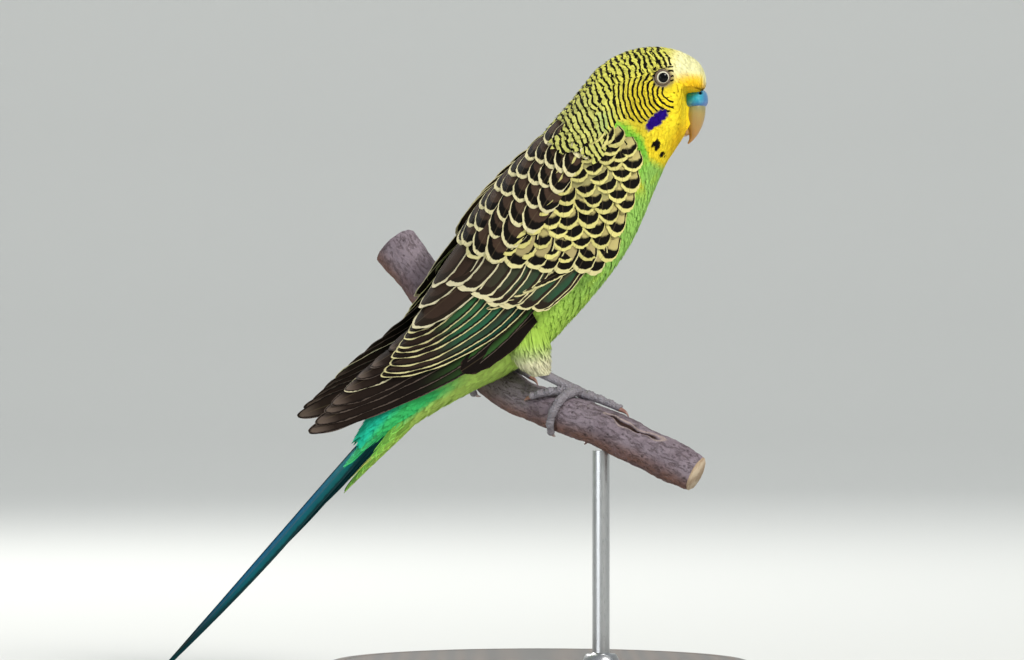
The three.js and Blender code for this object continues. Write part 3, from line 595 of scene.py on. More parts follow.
def claw_material():
    g = Graph("claw_horn", roughness=0.3, coat=0.2)
    streaks = g.noise(1300, detail=3, rough=0.6)
    g.set("Base Color", g.mix(streaks, (0.16, 0.05, 0.035), (0.36, 0.20, 0.15)))
    g.bump(streaks, strength=0.2, distance=0.0001)
    return g.material


def bark_material():
    g = Graph("bark_rough", roughness=0.88, specular=0.25)
    grain = g.split(g.attribute("grain", "Vector"))
    join = g.node("ShaderNodeCombineXYZ")
    g.put(join.inputs[0], g.times(grain[0], 0.35))
    g.put(join.inputs[1], grain[1])
    g.put(join.inputs[2], grain[2])
    long = g.noise(1.6, detail=6, rough=0.65, where=join.outputs[0], warp=0.6)
    fine = g.noise(1500, detail=5, rough=0.7)
    blotch = g.noise(110, detail=4, rough=0.6)
    pits = g.node("ShaderNodeTexVoronoi")
    g.tree.links.new(g.place(), pits.inputs["Vector"])
    pits.inputs["Scale"].default_value = 520
    # Partly the bark's own colour, partly painted light: the top is a lighter grey-mauve where light falls,
    # the underside a darker reddish-brown in painted shade
    under = g.step(g.math("ADD", grain[1], g.times(blotch, 2.5)), -1.6, 1.8, to_low=1, to_high=0)
    colour = g.mix(under, (0.274, 0.224, 0.259), (0.222, 0.116, 0.09))
    colour = g.mix(g.step(blotch, 0.38, 0.60, to_low=0.6, to_high=0), colour, (0.148, 0.109, 0.13))
    colour = g.mix(g.step(long, 0.36, 0.50, to_low=0.5, to_high=0), colour, (0.089, 0.058, 0.058))
    colour = g.mix(g.step(fine, 0.52, 0.75, to_low=0, to_high=0.5), colour, (0.34, 0.279, 0.302))
    hollow = g.step(pits.outputs["Distance"], 0.0, 0.22, to_low=0.75, to_high=0)
    colour = g.mix(hollow, colour, (0.03, 0.019, 0.018))
    crack = g.attribute("crack", "Fac")
    colour = g.mix(g.step(crack, 0.35, 0.75), colour, (0.041, 0.02, 0.016))
    torn = g.times(g.step(crack, 0.04, 0.16), g.step(crack, 0.45, 0.25))
    colour = g.mix(torn, colour, (0.407, 0.32, 0.302))
    g.set("Base Color", colour)
    ridges = g.times(g.step(long, 0.38, 0.5), 1.2)
    grit = g.math("ADD", fine, g.step(pits.outputs["Distance"], 0, 0.3))
    g.bump(g.math("ADD", ridges, grit), strength=0.7, distance=0.0006)
    return g.material


def cut_wood_material():
    """The sawn ends of the branch: pale wood with rings round the pith."""
    g = Graph("branch_cut", roughness=0.8, specular=0.2)
    rings = g.noise(380, detail=5, rough=0.65)
    grit = g.noise(2200, detail=3, rough=0.6)
    g.set("Base Color", g.mix(g.step(rings, 0.4, 0.6), (0.42, 0.30, 0.20), (0.60, 0.48, 0.34)))
    g.bump(g.math("ADD", rings, grit), strength=0.5, distance=0.0003)
    return g.material


def wood_material():
    g = Graph("stand_varnish", roughness=0.32, coat=0.35)
    rings = g.node("ShaderNodeTexWave", wave_type="RINGS", rings_direction="Y")
    g.tree.links.new(g.place((1, 0.06, 1)), rings.inputs["Vector"])
    rings.inputs["Scale"].default_value = 70
    rings.inputs["Distortion"].default_value = 5
    rings.inputs["Detail"].default_value = 3
    pores = g.noise(500, detail=4, rough=0.6, where=g.place((1, 0.08, 1)))
    colour = g.mix(rings.outputs["Fac"], (0.045, 0.022, 0.012), (0.12, 0.06, 0.03))
    g.set("Base Color", g.mix(g.times(pores, 0.5), colour, (0.03, 0.015, 0.01)))
    g.set("Coat Roughness", 0.15)
    g.bump(pores, strength=0.12, distance=0.0002)
    return g.material


def steel_material():
    g = Graph("stand_brushed", roughness=0.3, metallic=1.0)
    lines = g.noise(900, detail=4, rough=0.6, where=g.place((6, 6, 0.4)))
    g.set("Base Color", g.mix(lines, (0.48, 0.49, 0.5), (0.62, 0.63, 0.64)))
    g.set("Roughness", g.step(lines, 0.2, 0.8, to_low=0.24, to_high=0.4))
    g.bump(lines, strength=0.1, distance=0.00005)
    return g.material


# Markings

GOLD = (0.93, 0.72, 0.03)
CHEEK = (0.68, 0.55, 0.035)
CROWN = (0.68, 0.66, 0.12)
CREAM = (0.86, 0.84, 0.46)
ORANGE = (0.90, 0.47, 0.012)
GREEN = (0.20, 0.56, 0.05)
BREAST = (0.40, 0.66, 0.16)
BELLY = (0.44, 0.69, 0.10)
VENT = (0.50, 0.74, 0.15)
DEEP_GREEN = (0.07, 0.36, 0.06)
VIOLET = (0.018, 0.004, 0.18)
TURQUOISE = (0.02, 0.55, 0.34)
PALE_MANTLE = (0.56, 0.56, 0.16)
BLACK = (0.006, 0.005, 0.004)
BELLY_FLECK = (0.5, 0.72, 0.06)
RUMP_SIDE = (0.05, 0.52, 0.14)
NECK_GLOSS = (0.05, 0.50, 0.24)
ROUND_EYE = (0.30, 0.22, 0.10)
BARE_SKIN = (0.20, 0.17, 0.15)

# The picture's scale, its column at the middle of the drawing and the height of its top edge
PIXELS_PER_MM = 4.3
MIDDLE_COLUMN = 540
TOP_EDGE = 162.7


def px(column, row):
    """A point of the drawing plane from its place in the picture."""
    return (column - MIDDLE_COLUMN) / PIXELS_PER_MM, TOP_EDGE - row / PIXELS_PER_MM


NECK_GLOSS_PLACE = px(602, 134)
LORES_PLACE = px(694, 85)
MOUTH_PLACE = px(678, 140)
CHEEK_PLACE = px(654, 122)
THROAT_SPOTS = ((px(654, 148), 1.0), (px(662, 157), 0.5))
EAR_PLACE = (30.7, 141.07)

# Edges of the face: back by height, underside by distance, and where the arcs end below
FACE_BACK = ((118, 24), (127, 19.5), (129.2, 16), (131.3, 13.5), (133.9, 16.5), (134.4, 44))
FACE_UNDER = (
    (10, 134.6), (17, 134.3), (20, 133), (23.3, 130.4), (25.3, 124.6), (29.2, 122.7), (34, 121.0),
)
ARC_END = ((12, 134.5), (17, 134.0), (19.5, 134.7), (23.5, 133.6), (27, 135.0), (30.5, 136.6))
# How many bars lie within a length of the crown and nape
BAR_COUNT = ((0, 0), (14, 9.0), (34, 22.8), (60, 39.5))


def spot(p, centre, long, wide, tilt, soft=0.35):
    """How far inside a tilted oval each point of the drawing plane lies: 1 inside, 0 outside."""
    dx, dz = p[..., 0] - centre[0], p[..., 2] - centre[1]
    c, s = math.cos(tilt), math.sin(tilt)
    reach = np.hypot((dx * c + dz * s) / long, (-dx * s + dz * c) / wide)
    return 1 - smooth(1 - soft, 1 + soft, reach)


def blend(colour, share, other):
    return colour + (np.asarray(other) - colour) * share[..., None]


def brow(x):
    """Height of the line from the eye to the nape, where the cheek ends and the crown begins."""
    return 142.9 + (x - 17.4) * 0.333


# Lengths from the bill along lines of the body: this many steps, on this many lines
RUN_STEPS = 399
RUN_LINES = 48


def measured_runs():
    s = np.linspace(0, LAST_RIB, RUN_STEPS + 1)
    turns = np.linspace(0, 2 * math.pi, RUN_LINES + 1)
    steps = np.linalg.norm(np.diff(body(s[:, None], turns[None, :]), axis=0), axis=-1)
    return np.concatenate([np.zeros((1, RUN_LINES + 1)), np.cumsum(steps, 0)])


RUNS = measured_runs()


def run_length(s, angle):
    """Length along the lie of the feathers from the bill, in millimetres."""
    i = np.clip(s / LAST_RIB * RUN_STEPS, 0, RUN_STEPS - 0.001)
    j = np.mod(angle, 2 * math.pi) / (2 * math.pi) * RUN_LINES
    i0, j0 = i.astype(int), np.clip(j.astype(int), 0, RUN_LINES - 1)
    u, v = i - i0, j - j0
    near = RUNS[i0, j0] * (1 - u) + RUNS[i0 + 1, j0] * u
    far = RUNS[i0, j0 + 1] * (1 - u) + RUNS[i0 + 1, j0 + 1] * u
    return near * (1 - v) + far * v


def markings(s, angle):
    """Colour of the plumage at a place on the body, and phase, strength and share of its bars and arcs."""
    p = body(s, angle)
    x, y, z = p[..., 0], np.abs(p[..., 1]), p[..., 2]
    drift = waves(p, scale=0.12, seed=3)
    top = np.cos(angle)  # 1 on the back line, -1 on the breast line
    run = run_length(s, angle)
    colour = np.broadcast_to(np.array(GOLD), p.shape).copy()

    # Behind the eye, over the crown and down the nape
    back = smooth(2.2, -2.8, x - (29.5 + 0.3 * (z - 145)) + 0.3 * drift)
    colour = blend(colour, back, CHEEK)
    colour = blend(colour, back * smooth(-3, 4, z - brow(x) + drift), CROWN)
    colour = blend(colour, smooth(22, 15, x + drift), CROWN)
    colour = blend(colour, smooth(14, 4, x) * smooth(0.0, 0.4, top), PALE_MANTLE)

    # Green below the face, paler on the breast, yellower on the belly
    side = read_off(FACE_BACK, z)
    face = z - read_off(FACE_UNDER, x)
    chest = smooth(122, 114, z) * smooth(0.35, 0.1, top)
    low = smooth(1.6, -1.6, face + 0.7 * drift) * np.maximum(smooth(-1.0, 1.0, x - side), chest)
    colour = blend(colour, low, GREEN)
    front = smooth(-0.35, -0.8, top) * low
    colour = blend(colour, front * 0.7, BREAST)
    colour = blend(colour, low * smooth(0.5, 1, waves(p, scale=0.5, seed=8)) * 0.35, BELLY_FLECK)
    belly = smooth(106, 86, z + 0.25 * (x + 5) + 2 * drift) * smooth(0.4, -0.5, top)
    colour = blend(colour, belly, BELLY)
    colour = blend(colour, smooth(86, 77, z + 1.2 * drift) * smooth(0.3, -0.6, top), VENT)
    colour = blend(colour, smooth(-12, -24, x) * smooth(-0.2, 0.5, top), DEEP_GREEN)
    rump = smooth(15.4, 16.6, s)
    colour = blend(colour, rump * smooth(-0.75, -0.45, top), RUMP_SIDE)
    colour = blend(colour, rump * smooth(-0.1, 0.35, top), TURQUOISE)
    colour = blend(colour, spot(p, NECK_GLOSS_PLACE, long=1.8, wide=3.2, tilt=0.2) * 0.75, NECK_GLOSS)

    # Forehead, lores and the shaded corner of the mouth
    pale = smooth(144.0, 147.0, z + 0.35 * (38 - x) * 0.4 + 0.3 * drift) * (1 - back)
    colour = blend(colour, np.maximum(pale, smooth(37.0, 38.2, x) * smooth(141.5, 143, z)), CREAM)
    colour = blend(colour, spot(p, LORES_PLACE, long=4.2, wide=1.9, tilt=-0.35, soft=0.6) * 0.6, ORANGE)
    colour = blend(colour, spot(p, MOUTH_PLACE, long=4.0, wide=1.6, tilt=1.1, soft=0.7) * 0.5, ORANGE)

    # Cheek patch and throat spots
    ragged = p + 0.35 * np.stack([waves(p, scale=2.6, seed=31), 0 * x, waves(p, scale=2.6, seed=32)], -1)
    patch = spot(ragged, CHEEK_PLACE, long=3.35, wide=1.45, tilt=0.72, soft=0.14) * smooth(4, 6, y)
    for centre, size in THROAT_SPOTS:
        colour = blend(colour, spot(ragged, centre, long=size, wide=size * 1.2, tilt=0.3, soft=0.2), BLACK)

    # Bars over the crown and nape, and arcs round the cheek
    across = read_off(BAR_COUNT, run + 8.5 * (1 - top))
    across = across + 0.22 * waves(p, scale=0.9, seed=5)
    before = x - (28.9 + (151 - z) * 0.49) + 0.5 * waves(p, scale=0.9, seed=9)
    crown = smooth(0.4, -0.4, before) * smooth(0.5, -0.5, x - side)
    crown = crown * smooth(-0.5, 0.5, z - (134.3 - 0.8 * np.maximum(0, 17 - x)))
    ear = np.hypot(x - EAR_PLACE[0], z - EAR_PLACE[1])
    arcs = smooth(0.4, -0.2, x - EAR_PLACE[0]) * smooth(0.4, -0.4, z - brow(x))
    arcs = arcs * smooth(-0.3, 0.3, z - read_off(ARC_END, x))
    arcs = arcs * smooth(15.5, 13.5, ear) * smooth(1.6, 2.6, ear)
    crown = crown * np.maximum(smooth(-0.4, 0.4, z - brow(x)), smooth(18.5, 16.5, x))
    crown = crown * (1 - arcs) * (1 - smooth(15.0, 16.2, s)) * np.where(s > 9, smooth(0.0, 0.3, top), 1)
    crown = crown * (1 - patch)
    colour = blend(colour, patch, VIOLET)
    arcs = arcs * (1 - patch)
    round_eye = 1 - smooth(1.9, 3.0, np.hypot(x - EYE[0], z - EYE[1]))
    colour = blend(colour, round_eye * 0.75 * (x > 20), ROUND_EYE)
    thick = lerp(-0.13, 0.14, smooth(16, 38, run))
    rings = ear / 1.13 + 0.1 * waves(p, scale=0.9, seed=6)
    return colour, np.stack([across, crown, thick], -1), np.stack([rings, arcs, 0.12 + 0 * x], -1)


# Small feathers

# A small feather's rows from root to tip and columns from side to side, as shares
FEATHER_ROWS = np.array((0, 0.3, 0.6, 0.82, 0.94, 1.0))
FEATHER_COLUMNS = np.array((-1, -0.5, 0, 0.5, 1))
# Side of a small feather's patch in the bake map, and most faces in one piece
PATCH = 0.003
MOST_FACES = 95000
# Length, width and depth of the root of the small feathers, by their place from the bill
FEATHER_LENGTH = (
    (0, 1.5), (2, 1.7), (4, 2.2), (6, 2.8), (8, 3.6), (10, 4.6), (13, 5.4), (16, 6.4), (19, 7.0),
)
FEATHER_WIDTH = (
    (0, 0.9), (2, 1.0), (4, 1.25), (6, 1.6), (8, 2.0), (10, 2.5), (13, 2.6), (16, 2.1), (19, 1.8),
)
ROOT_DEPTH = ((0, 0.45), (3, 0.55), (7, 0.9), (10, 1.2))
SKIN_DEPTH = ((0, 0.5), (3, 0.6), (7, 1.0), (10, 1.3))
# The nape feathers over the wing's upper edge: length and lift of their tips
MANTLE_LENGTH = ((7.2, 5.0), (8.2, 8.2))
MANTLE_WIDTH = 2.6
MANTLE_LIFT = ((7.2, 0), (8.3, 2.8))


def leaf(v):
    """Share of its full width that a small feather has at share v of its length."""
    return np.sin(math.pi * np.clip(0.14 + 0.86 * v, 0, 1) ** 0.75) ** 0.62


def lay(surface, a, b, length, width, turn, low, high, camber):
    """Points of many small feathers on a surface. Each starts at (a, b) and runs along the first
    coordinate, turned by an angle, and rises from low to high."""
    e = 1e-3
    base = surface(a, b, low)
    sa = np.linalg.norm(surface(a + e, b, low) - base, axis=-1) / e
    sb = np.linalg.norm(surface(a, b + e, low) - base, axis=-1) / e
    v = FEATHER_ROWS[None, :, None]
    u = FEATHER_COLUMNS[None, None, :]
    wide = leaf(v) * width[:, None, None] / 2
    go = v * length[:, None, None]
    across = u * wide
    c, s = np.cos(turn)[:, None, None], np.sin(turn)[:, None, None]
    aa = a[:, None, None] + (go * c - across * s) / sa[:, None, None]
    bb = b[:, None, None] + (go * s + across * c) / sb[:, None, None]
    hh = lerp(low[:, None, None], high[:, None, None], v ** 0.8) - camber * (u * leaf(v)) ** 2
    barbs = np.stack([across, go + 0 * u, 0 * across], -1)
    return surface(aa, bb, hh), aa, bb, barbs.reshape(-1, 3)


def feather_faces(count):
    """Faces of many small feathers, each a grid of its own."""
    rows, columns = len(FEATHER_ROWS), len(FEATHER_COLUMNS)
    quads = np.array(grid_faces(rows, columns))
    return (quads[None] + (np.arange(count) * rows * columns)[:, None, None]).reshape(-1, 4)


def feather_map(u, v):
    """Bake map places of many small feathers: a patch for each, at its root's place."""
    u = u[:, None, None] + FEATHER_COLUMNS[None, None, :] * (PATCH / 2)
    v = v[:, None, None] + (FEATHER_ROWS[None, :, None] - 0.5) * PATCH
    return np.stack(np.broadcast_arrays(u, v), -1).reshape(-1, 2)


def feather_rows(first, last, sizes, spread):
    """Where the feathers of a coat start: offset rows down the body, evenly spaced round it."""
    starts = []
    s = first
    i = 0
    while s < last:
        length, width = sizes(s)
        step = length * spread[0]
        half = curve(RIBS, np.array([s]))[0]
        depth = math.hypot(half[0] - half[2], half[1] - half[3]) / 2
        around = 2 * math.pi * math.sqrt((depth ** 2 + half[4] ** 2) / 2)
        count = max(6, int(around / (width * spread[1])))
        angle = (np.arange(count) + 0.5 * (i % 2)) / count * 2 * math.pi
        angle = angle + rng.normal(0, 0.16 / count * 2 * math.pi, count)
        # Equal steps of length along the oval, not of angle
        fine = np.linspace(0, 2 * math.pi, 181)
        line = body(np.full(181, s), fine)
        walked = np.concatenate([[0], np.cumsum(np.linalg.norm(np.diff(line, axis=0), axis=-1))])
        angle = np.interp(np.mod(angle, 2 * math.pi) / (2 * math.pi) * walked[-1], walked, fine)
        here = s + rng.normal(0, 0.1, count) * step / 6
        starts.append(np.stack([here, angle], -1))
        there = body(np.array([s + 0.02]), np.array([1.2])) - body(np.array([s]), np.array([1.2]))
        s += step / max(np.linalg.norm(there) / 0.02, 1e-3)
        i += 1
    return np.concatenate(starts).T


def coat(name, ends, material, slot, sizes, spread, mask, lift=None, barred=False):
    """Small feathers over a stretch of the body, in as many pieces as their number needs."""
    s, angle = feather_rows(*ends, sizes, spread)
    keep = mask(s, angle)
    s, angle = s[keep], angle[keep]
    size = np.array([sizes(v) for v in s])
    vary = rng.uniform(0.85, 1.15, len(s))
    length, width = size[:, 0] * vary, size[:, 1] * rng.uniform(0.9, 1.12, len(s))
    at = body(s, angle)
    away = np.hypot(at[:, 0] - EYE[0], at[:, 2] - EYE[1]) + 40 * (at[:, 0] < 20)
    length = length * lerp(0.38, 1, smooth(1.8, 4.5, away))
    width = width * lerp(0.6, 1, smooth(1.8, 4.5, away))
    turn = rng.normal(0, 0.10, len(s))
    depth = read_off(ROOT_DEPTH, s)
    high = rng.uniform(-0.25, 0.05, len(s)) * depth - 0.6 * smooth(16.6, 17.9, s)
    if lift:
        high = high + lift(s, angle)
    points, ss, aa, barbs = lay(
        body, s, angle, length, width, turn=turn, low=-depth, high=high, camber=0.12 * width.mean(),
    )
    n, r, c = points.shape[:3]
    e = 1e-3
    normal = np.cross(body(ss, aa + e) - body(ss, aa), body(ss + e, aa) - body(ss, aa))
    away = unit(body(ss, aa, 1.0) - body(ss, aa))
    normal = unit(normal) * np.sign(np.sum(unit(normal) * away, -1, keepdims=True))
    # Each feather takes most of its colour from where its tip lies
    tip_s = np.broadcast_to(ss[:, -1:, c // 2:c // 2 + 1], ss.shape)
    tip_a = np.broadcast_to(aa[:, -1:, c // 2:c // 2 + 1], aa.shape)
    colour, _, _ = markings(lerp(ss, tip_s, 0.5), lerp(aa, tip_a, 0.5))
    _, bars, arcs = markings(ss, aa)
    bars[..., 0] += rng.normal(0, 0.10, (n, 1, 1))
    if barred:
        bars[..., 1] = 1
        colour = blend(colour, smooth(8.0, 9.2, lerp(ss, tip_s, 0.5)) * 0.9, PALE_MANTLE)
        colour = blend(colour, (colour[..., 1] > colour[..., 0] * 1.3) * 1.0, CROWN)
    arcs[..., 0] += rng.normal(0, 0.03, (n, 1, 1))
    # Painted shade: each feather is darker towards its root, where the feathers over it shade it
    root_shade = lerp(0.84, 1.03, smooth(0.1, 0.9, FEATHER_ROWS))[None, :, None, None]
    colour = colour * rng.uniform(0.88, 1.12, (n, 1, 1, 1)) * root_shade
    uv = feather_map(np.mod(angle, 2 * math.pi) / (2 * math.pi) * 0.96 + 0.02, s / 20 * 0.96 + 0.02)
    flat = points.reshape(-1, 3)
    own = np.cross(np.gradient(points, axis=2), np.gradient(points, axis=1))
    own = unit(own)
    own *= np.sign(np.sum(own * normal, -1, keepdims=True))
    shading = unit(0.7 * normal + 0.3 * own).reshape(-1, 3)
    faces = facing(flat, feather_faces(n), normal.reshape(-1, 3))
    tint = np.clip(colour.reshape(-1, 3), 0, 1)
    bars, arcs = bars.reshape(-1, 3), arcs.reshape(-1, 3)
    quads = (r - 1) * (c - 1)
    limit = MOST_FACES // quads
    for k in range(0, n, limit):
        last = min(n, k + limit)
        a, b = k * r * c, last * r * c
        make(
            f"{name}_{k // limit + 1}", flat[a:b], faces[k * quads:last * quads] - a, slot, material,
            colours={"tint": tint[a:b]},
            values={"bars": bars[a:b], "arcs": arcs[a:b], "barbs": barbs[a:b]},
            uv=uv[a:b], normals=shading[a:b],
        )


# Large feathers

VANE_THICKNESS = 0.14


def on_bend(points, t):
    """A point of the bend that three points steer."""
    p, q, r = (np.array(v, float) for v in points)
    return (1 - t) ** 2 * p + 2 * t * (1 - t) * q + t * t * r


def vane_width(v, tip, base=0.5):
    """Share of its full width that a vane has at share v of its length. It rounds off beyond tip."""
    swell = lerp(base, 1, smooth(0, 0.4, v))
    end = np.sqrt(np.clip(1 - ((v - tip) / (1.002 - tip)) ** 2, 0, 1))
    return swell * np.where(v > tip, end, 1)


class Vanes:
    """Collects large feathers, closed on all sides, into one mesh with their patterns."""

    def __init__(self):
        self.points, self.faces, self.cells = [], [], []
        self.data = {"inner": [], "band": [], "fringe": [], "edge": [], "barbs": []}
        self.base = 0

    def add(self, top, under, across, along, edge, inner, band, fringe, fringe_width, band_width):
        rows, columns = top.shape[:2]
        points = np.concatenate([top.reshape(-1, 3), under.reshape(-1, 3)])
        size = rows * columns
        faces = grid_faces(rows, columns)
        faces += [tuple(reversed([i + size for i in f])) for f in grid_faces(rows, columns)]
        rim = [i * columns for i in range(rows)] + [(rows - 1) * columns + j for j in range(1, columns)]
        rim += [i * columns + columns - 1 for i in range(rows - 2, -1, -1)]
        rim += list(range(columns - 2, 0, -1))
        for k, i in enumerate(rim):
            j = rim[(k + 1) % len(rim)]
            faces.append((j, i, i + size, j + size))
        faces = outward(points, faces)
        self.faces += [tuple(i + self.base for i in f) for f in faces]
        self.points.append(points)
        self.base += len(points)
        twice = lambda v: np.concatenate([v.reshape(size, -1), v.reshape(size, -1)])
        full = lambda c: twice(np.broadcast_to(np.asarray(c, float), (rows, columns, 3)))
        self.data["inner"].append(full(inner))
        self.data["band"].append(full(band))
        self.data["fringe"].append(full(fringe))
        wide = lambda v: np.broadcast_to(np.asarray(v, float), (rows, columns))
        self.data["edge"].append(twice(np.stack([edge, wide(fringe_width), wide(band_width)], -1)))
        self.data["barbs"].append(twice(np.stack([across, along, 0 * along], -1)))
        self.cells.append((rows, columns))

    def build(self, name, slot, material, replaces):
        """Makes the piece. In its bake map each feather has a cell of its own, top and underside."""
        count = len(self.cells)
        side = math.ceil(math.sqrt(count))
        uv = []
        for k, (rows, columns) in enumerate(self.cells):
            v, u = np.meshgrid(
                np.linspace(0.04, 0.96, rows), np.linspace(0.04, 0.96, columns), indexing="ij",
            )
            cell = np.stack([(k % side + u * 0.5) / side, (k // side + v) / side], -1).reshape(-1, 2)
            uv += [cell, cell + [0.5 / side, 0]]
        stack = {k: np.concatenate(v) for k, v in self.data.items()}
        make(
            name, np.concatenate(self.points), self.faces, slot, material, replaces,
            colours={k: np.clip(stack[k], 0, 1) for k in ("inner", "band", "fringe")},
            values={k: stack[k] for k in ("edge", "barbs")}, uv=np.concatenate(uv),
        )


def wing_vane(
    vanes, wing, root, tip, width, low, high, roll, bend, blunt, pattern, rows, columns, base=0.5,
    sides=1.0,
):
    """One feather of the wing from its root to its tip, both in the drawing plane."""
    a0, b0 = wing.place(*root)
    a1, b1 = wing.place(*tip)
    w0, w1 = float(wing.wrap(a0, b0, low)), float(wing.wrap(a1, b1, high))
    da, dw = a1 - a0, w1 - w0
    length = math.hypot(da, dw)
    v = np.sin(np.linspace(0, 1, rows) ** 0.8 * math.pi / 2)[:, None]
    u = np.sin(np.linspace(-1, 1, columns) * math.pi / 2)[None, :]
    half = width / 2 * vane_width(v, blunt, base)
    bow = bend * 4 * v * (1 - v)
    side = u * half
    ragged = 0.03 * width * np.sin(37 * v + 5 * tip[0]) * (np.abs(u) > 0.99) * smooth(0.3, 0.9, v)
    aa = a0 + da * v - dw / length * (bow + side + ragged)
    ww = w0 + dw * v + da / length * (bow + side + ragged)
    height = lerp(low, high, v) + (abs(roll) - roll * u) / 2 - 0.10 * width / 6 * u ** 2
    top, under = wing(aa, ww, height + VANE_THICKNESS), wing(aa, ww, height)
    share = np.abs(side) / half.max()
    edge = (blunt + (1.002 - blunt) * np.sqrt(np.clip(1 - share ** 2, 0, 1)) - v) * length
    edge = np.minimum(edge, (1 - np.abs(u)) * half * sides)
    inner, band, fringe, fw, bw = pattern(v, u)
    vanes.add(
        top, under, side + 0 * v, v * length + 0 * u, np.maximum(edge, 0), inner, band, fringe, fw, bw,
    )


def shade_of(colour, amount):
    return np.asarray(colour) * amount


def mixed(a, b, t):
    return np.asarray(a) + (np.asarray(b) - np.asarray(a)) * t


WING_DARK = (0.009, 0.006, 0.005)
WING_BROWN = (0.034, 0.021, 0.015)
WING_PALE = (0.66, 0.60, 0.30)
WING_CREAM = (0.68, 0.62, 0.40)
WING_GREEN = (0.05, 0.15, 0.035)
WING_TEAL = (0.012, 0.14, 0.085)
WORN_TIP = (0.20, 0.15, 0.12)
PRIMARY_FRINGE = (0.10, 0.075, 0.06)
TERTIAL_BROWN = (0.045, 0.027, 0.019)
TERTIAL_BAND = (0.022, 0.015, 0.01)
COVERT_GLOSS = (0.02, 0.10, 0.05)
COVERT_BAND = (0.025, 0.017, 0.012)
MEDIUM_YELLOW = (0.46, 0.38, 0.17)
MEDIUM_FRINGE = (0.68, 0.62, 0.30)
SHOULDER_YELLOW = (0.50, 0.43, 0.17)
SHOULDER_FRINGE = (0.68, 0.62, 0.22)
EDGING_GREEN = (0.02, 0.06, 0.03)
SCAPULAR_BROWN = (0.062, 0.037, 0.025)
SCAPULAR_FRINGE = (0.66, 0.60, 0.34)
ARM_YELLOW = (0.34, 0.31, 0.13)
ARM_FRINGE = (0.5, 0.45, 0.2)

# Tips of the scaled coverts in the picture, from the first row to the last, at its front and back
COVERT_ROWS = 13
COVERT_FRONT = np.array((
    (600, 261), (606, 246), (613, 231), (621, 215), (627, 200), (631, 186), (632, 174), (630, 163),
    (625, 154), (617, 147),
), float)
COVERT_BACK = np.array((
    (504, 256), (512, 244), (517, 231), (525, 217), (534, 204), (545, 190), (557, 176), (568, 163),
    (579, 151), (588, 141),
), float)
# Roots and tips in the picture of the narrow feathers at the front edge, and the step to the next
EDGING_COUNT = 6
EDGING_ROOT, EDGING_ROOT_STEP = (608, 236), (-7, 5)
EDGING_TIP, EDGING_TIP_STEP = (532, 289), (-9, 4)
# Root and tip of the covert that lies before the long feathers
FIRST_COVERT = (534, 316), (462, 371)
# Rows of shoulder feathers: three tips in the picture, how many, length and width
SCAPULARS = (
    (((490, 262), (470, 252), (452, 236)), 4, 15, 6.4),
    (((506, 246), (486, 236), (466, 224)), 4, 13, 6.0),
    (((526, 232), (500, 222), (480, 210)), 5, 11, 5.4),
    (((540, 212), (516, 204), (496, 192)), 5, 9.5, 5.0),
    (((552, 192), (530, 186), (510, 176)), 5, 8.5, 4.6),
    (((566, 176), (548, 170), (528, 160)), 5, 7.5, 4.2),
    (((582, 160), (566, 155), (548, 146)), 5, 6.5, 3.8),
)


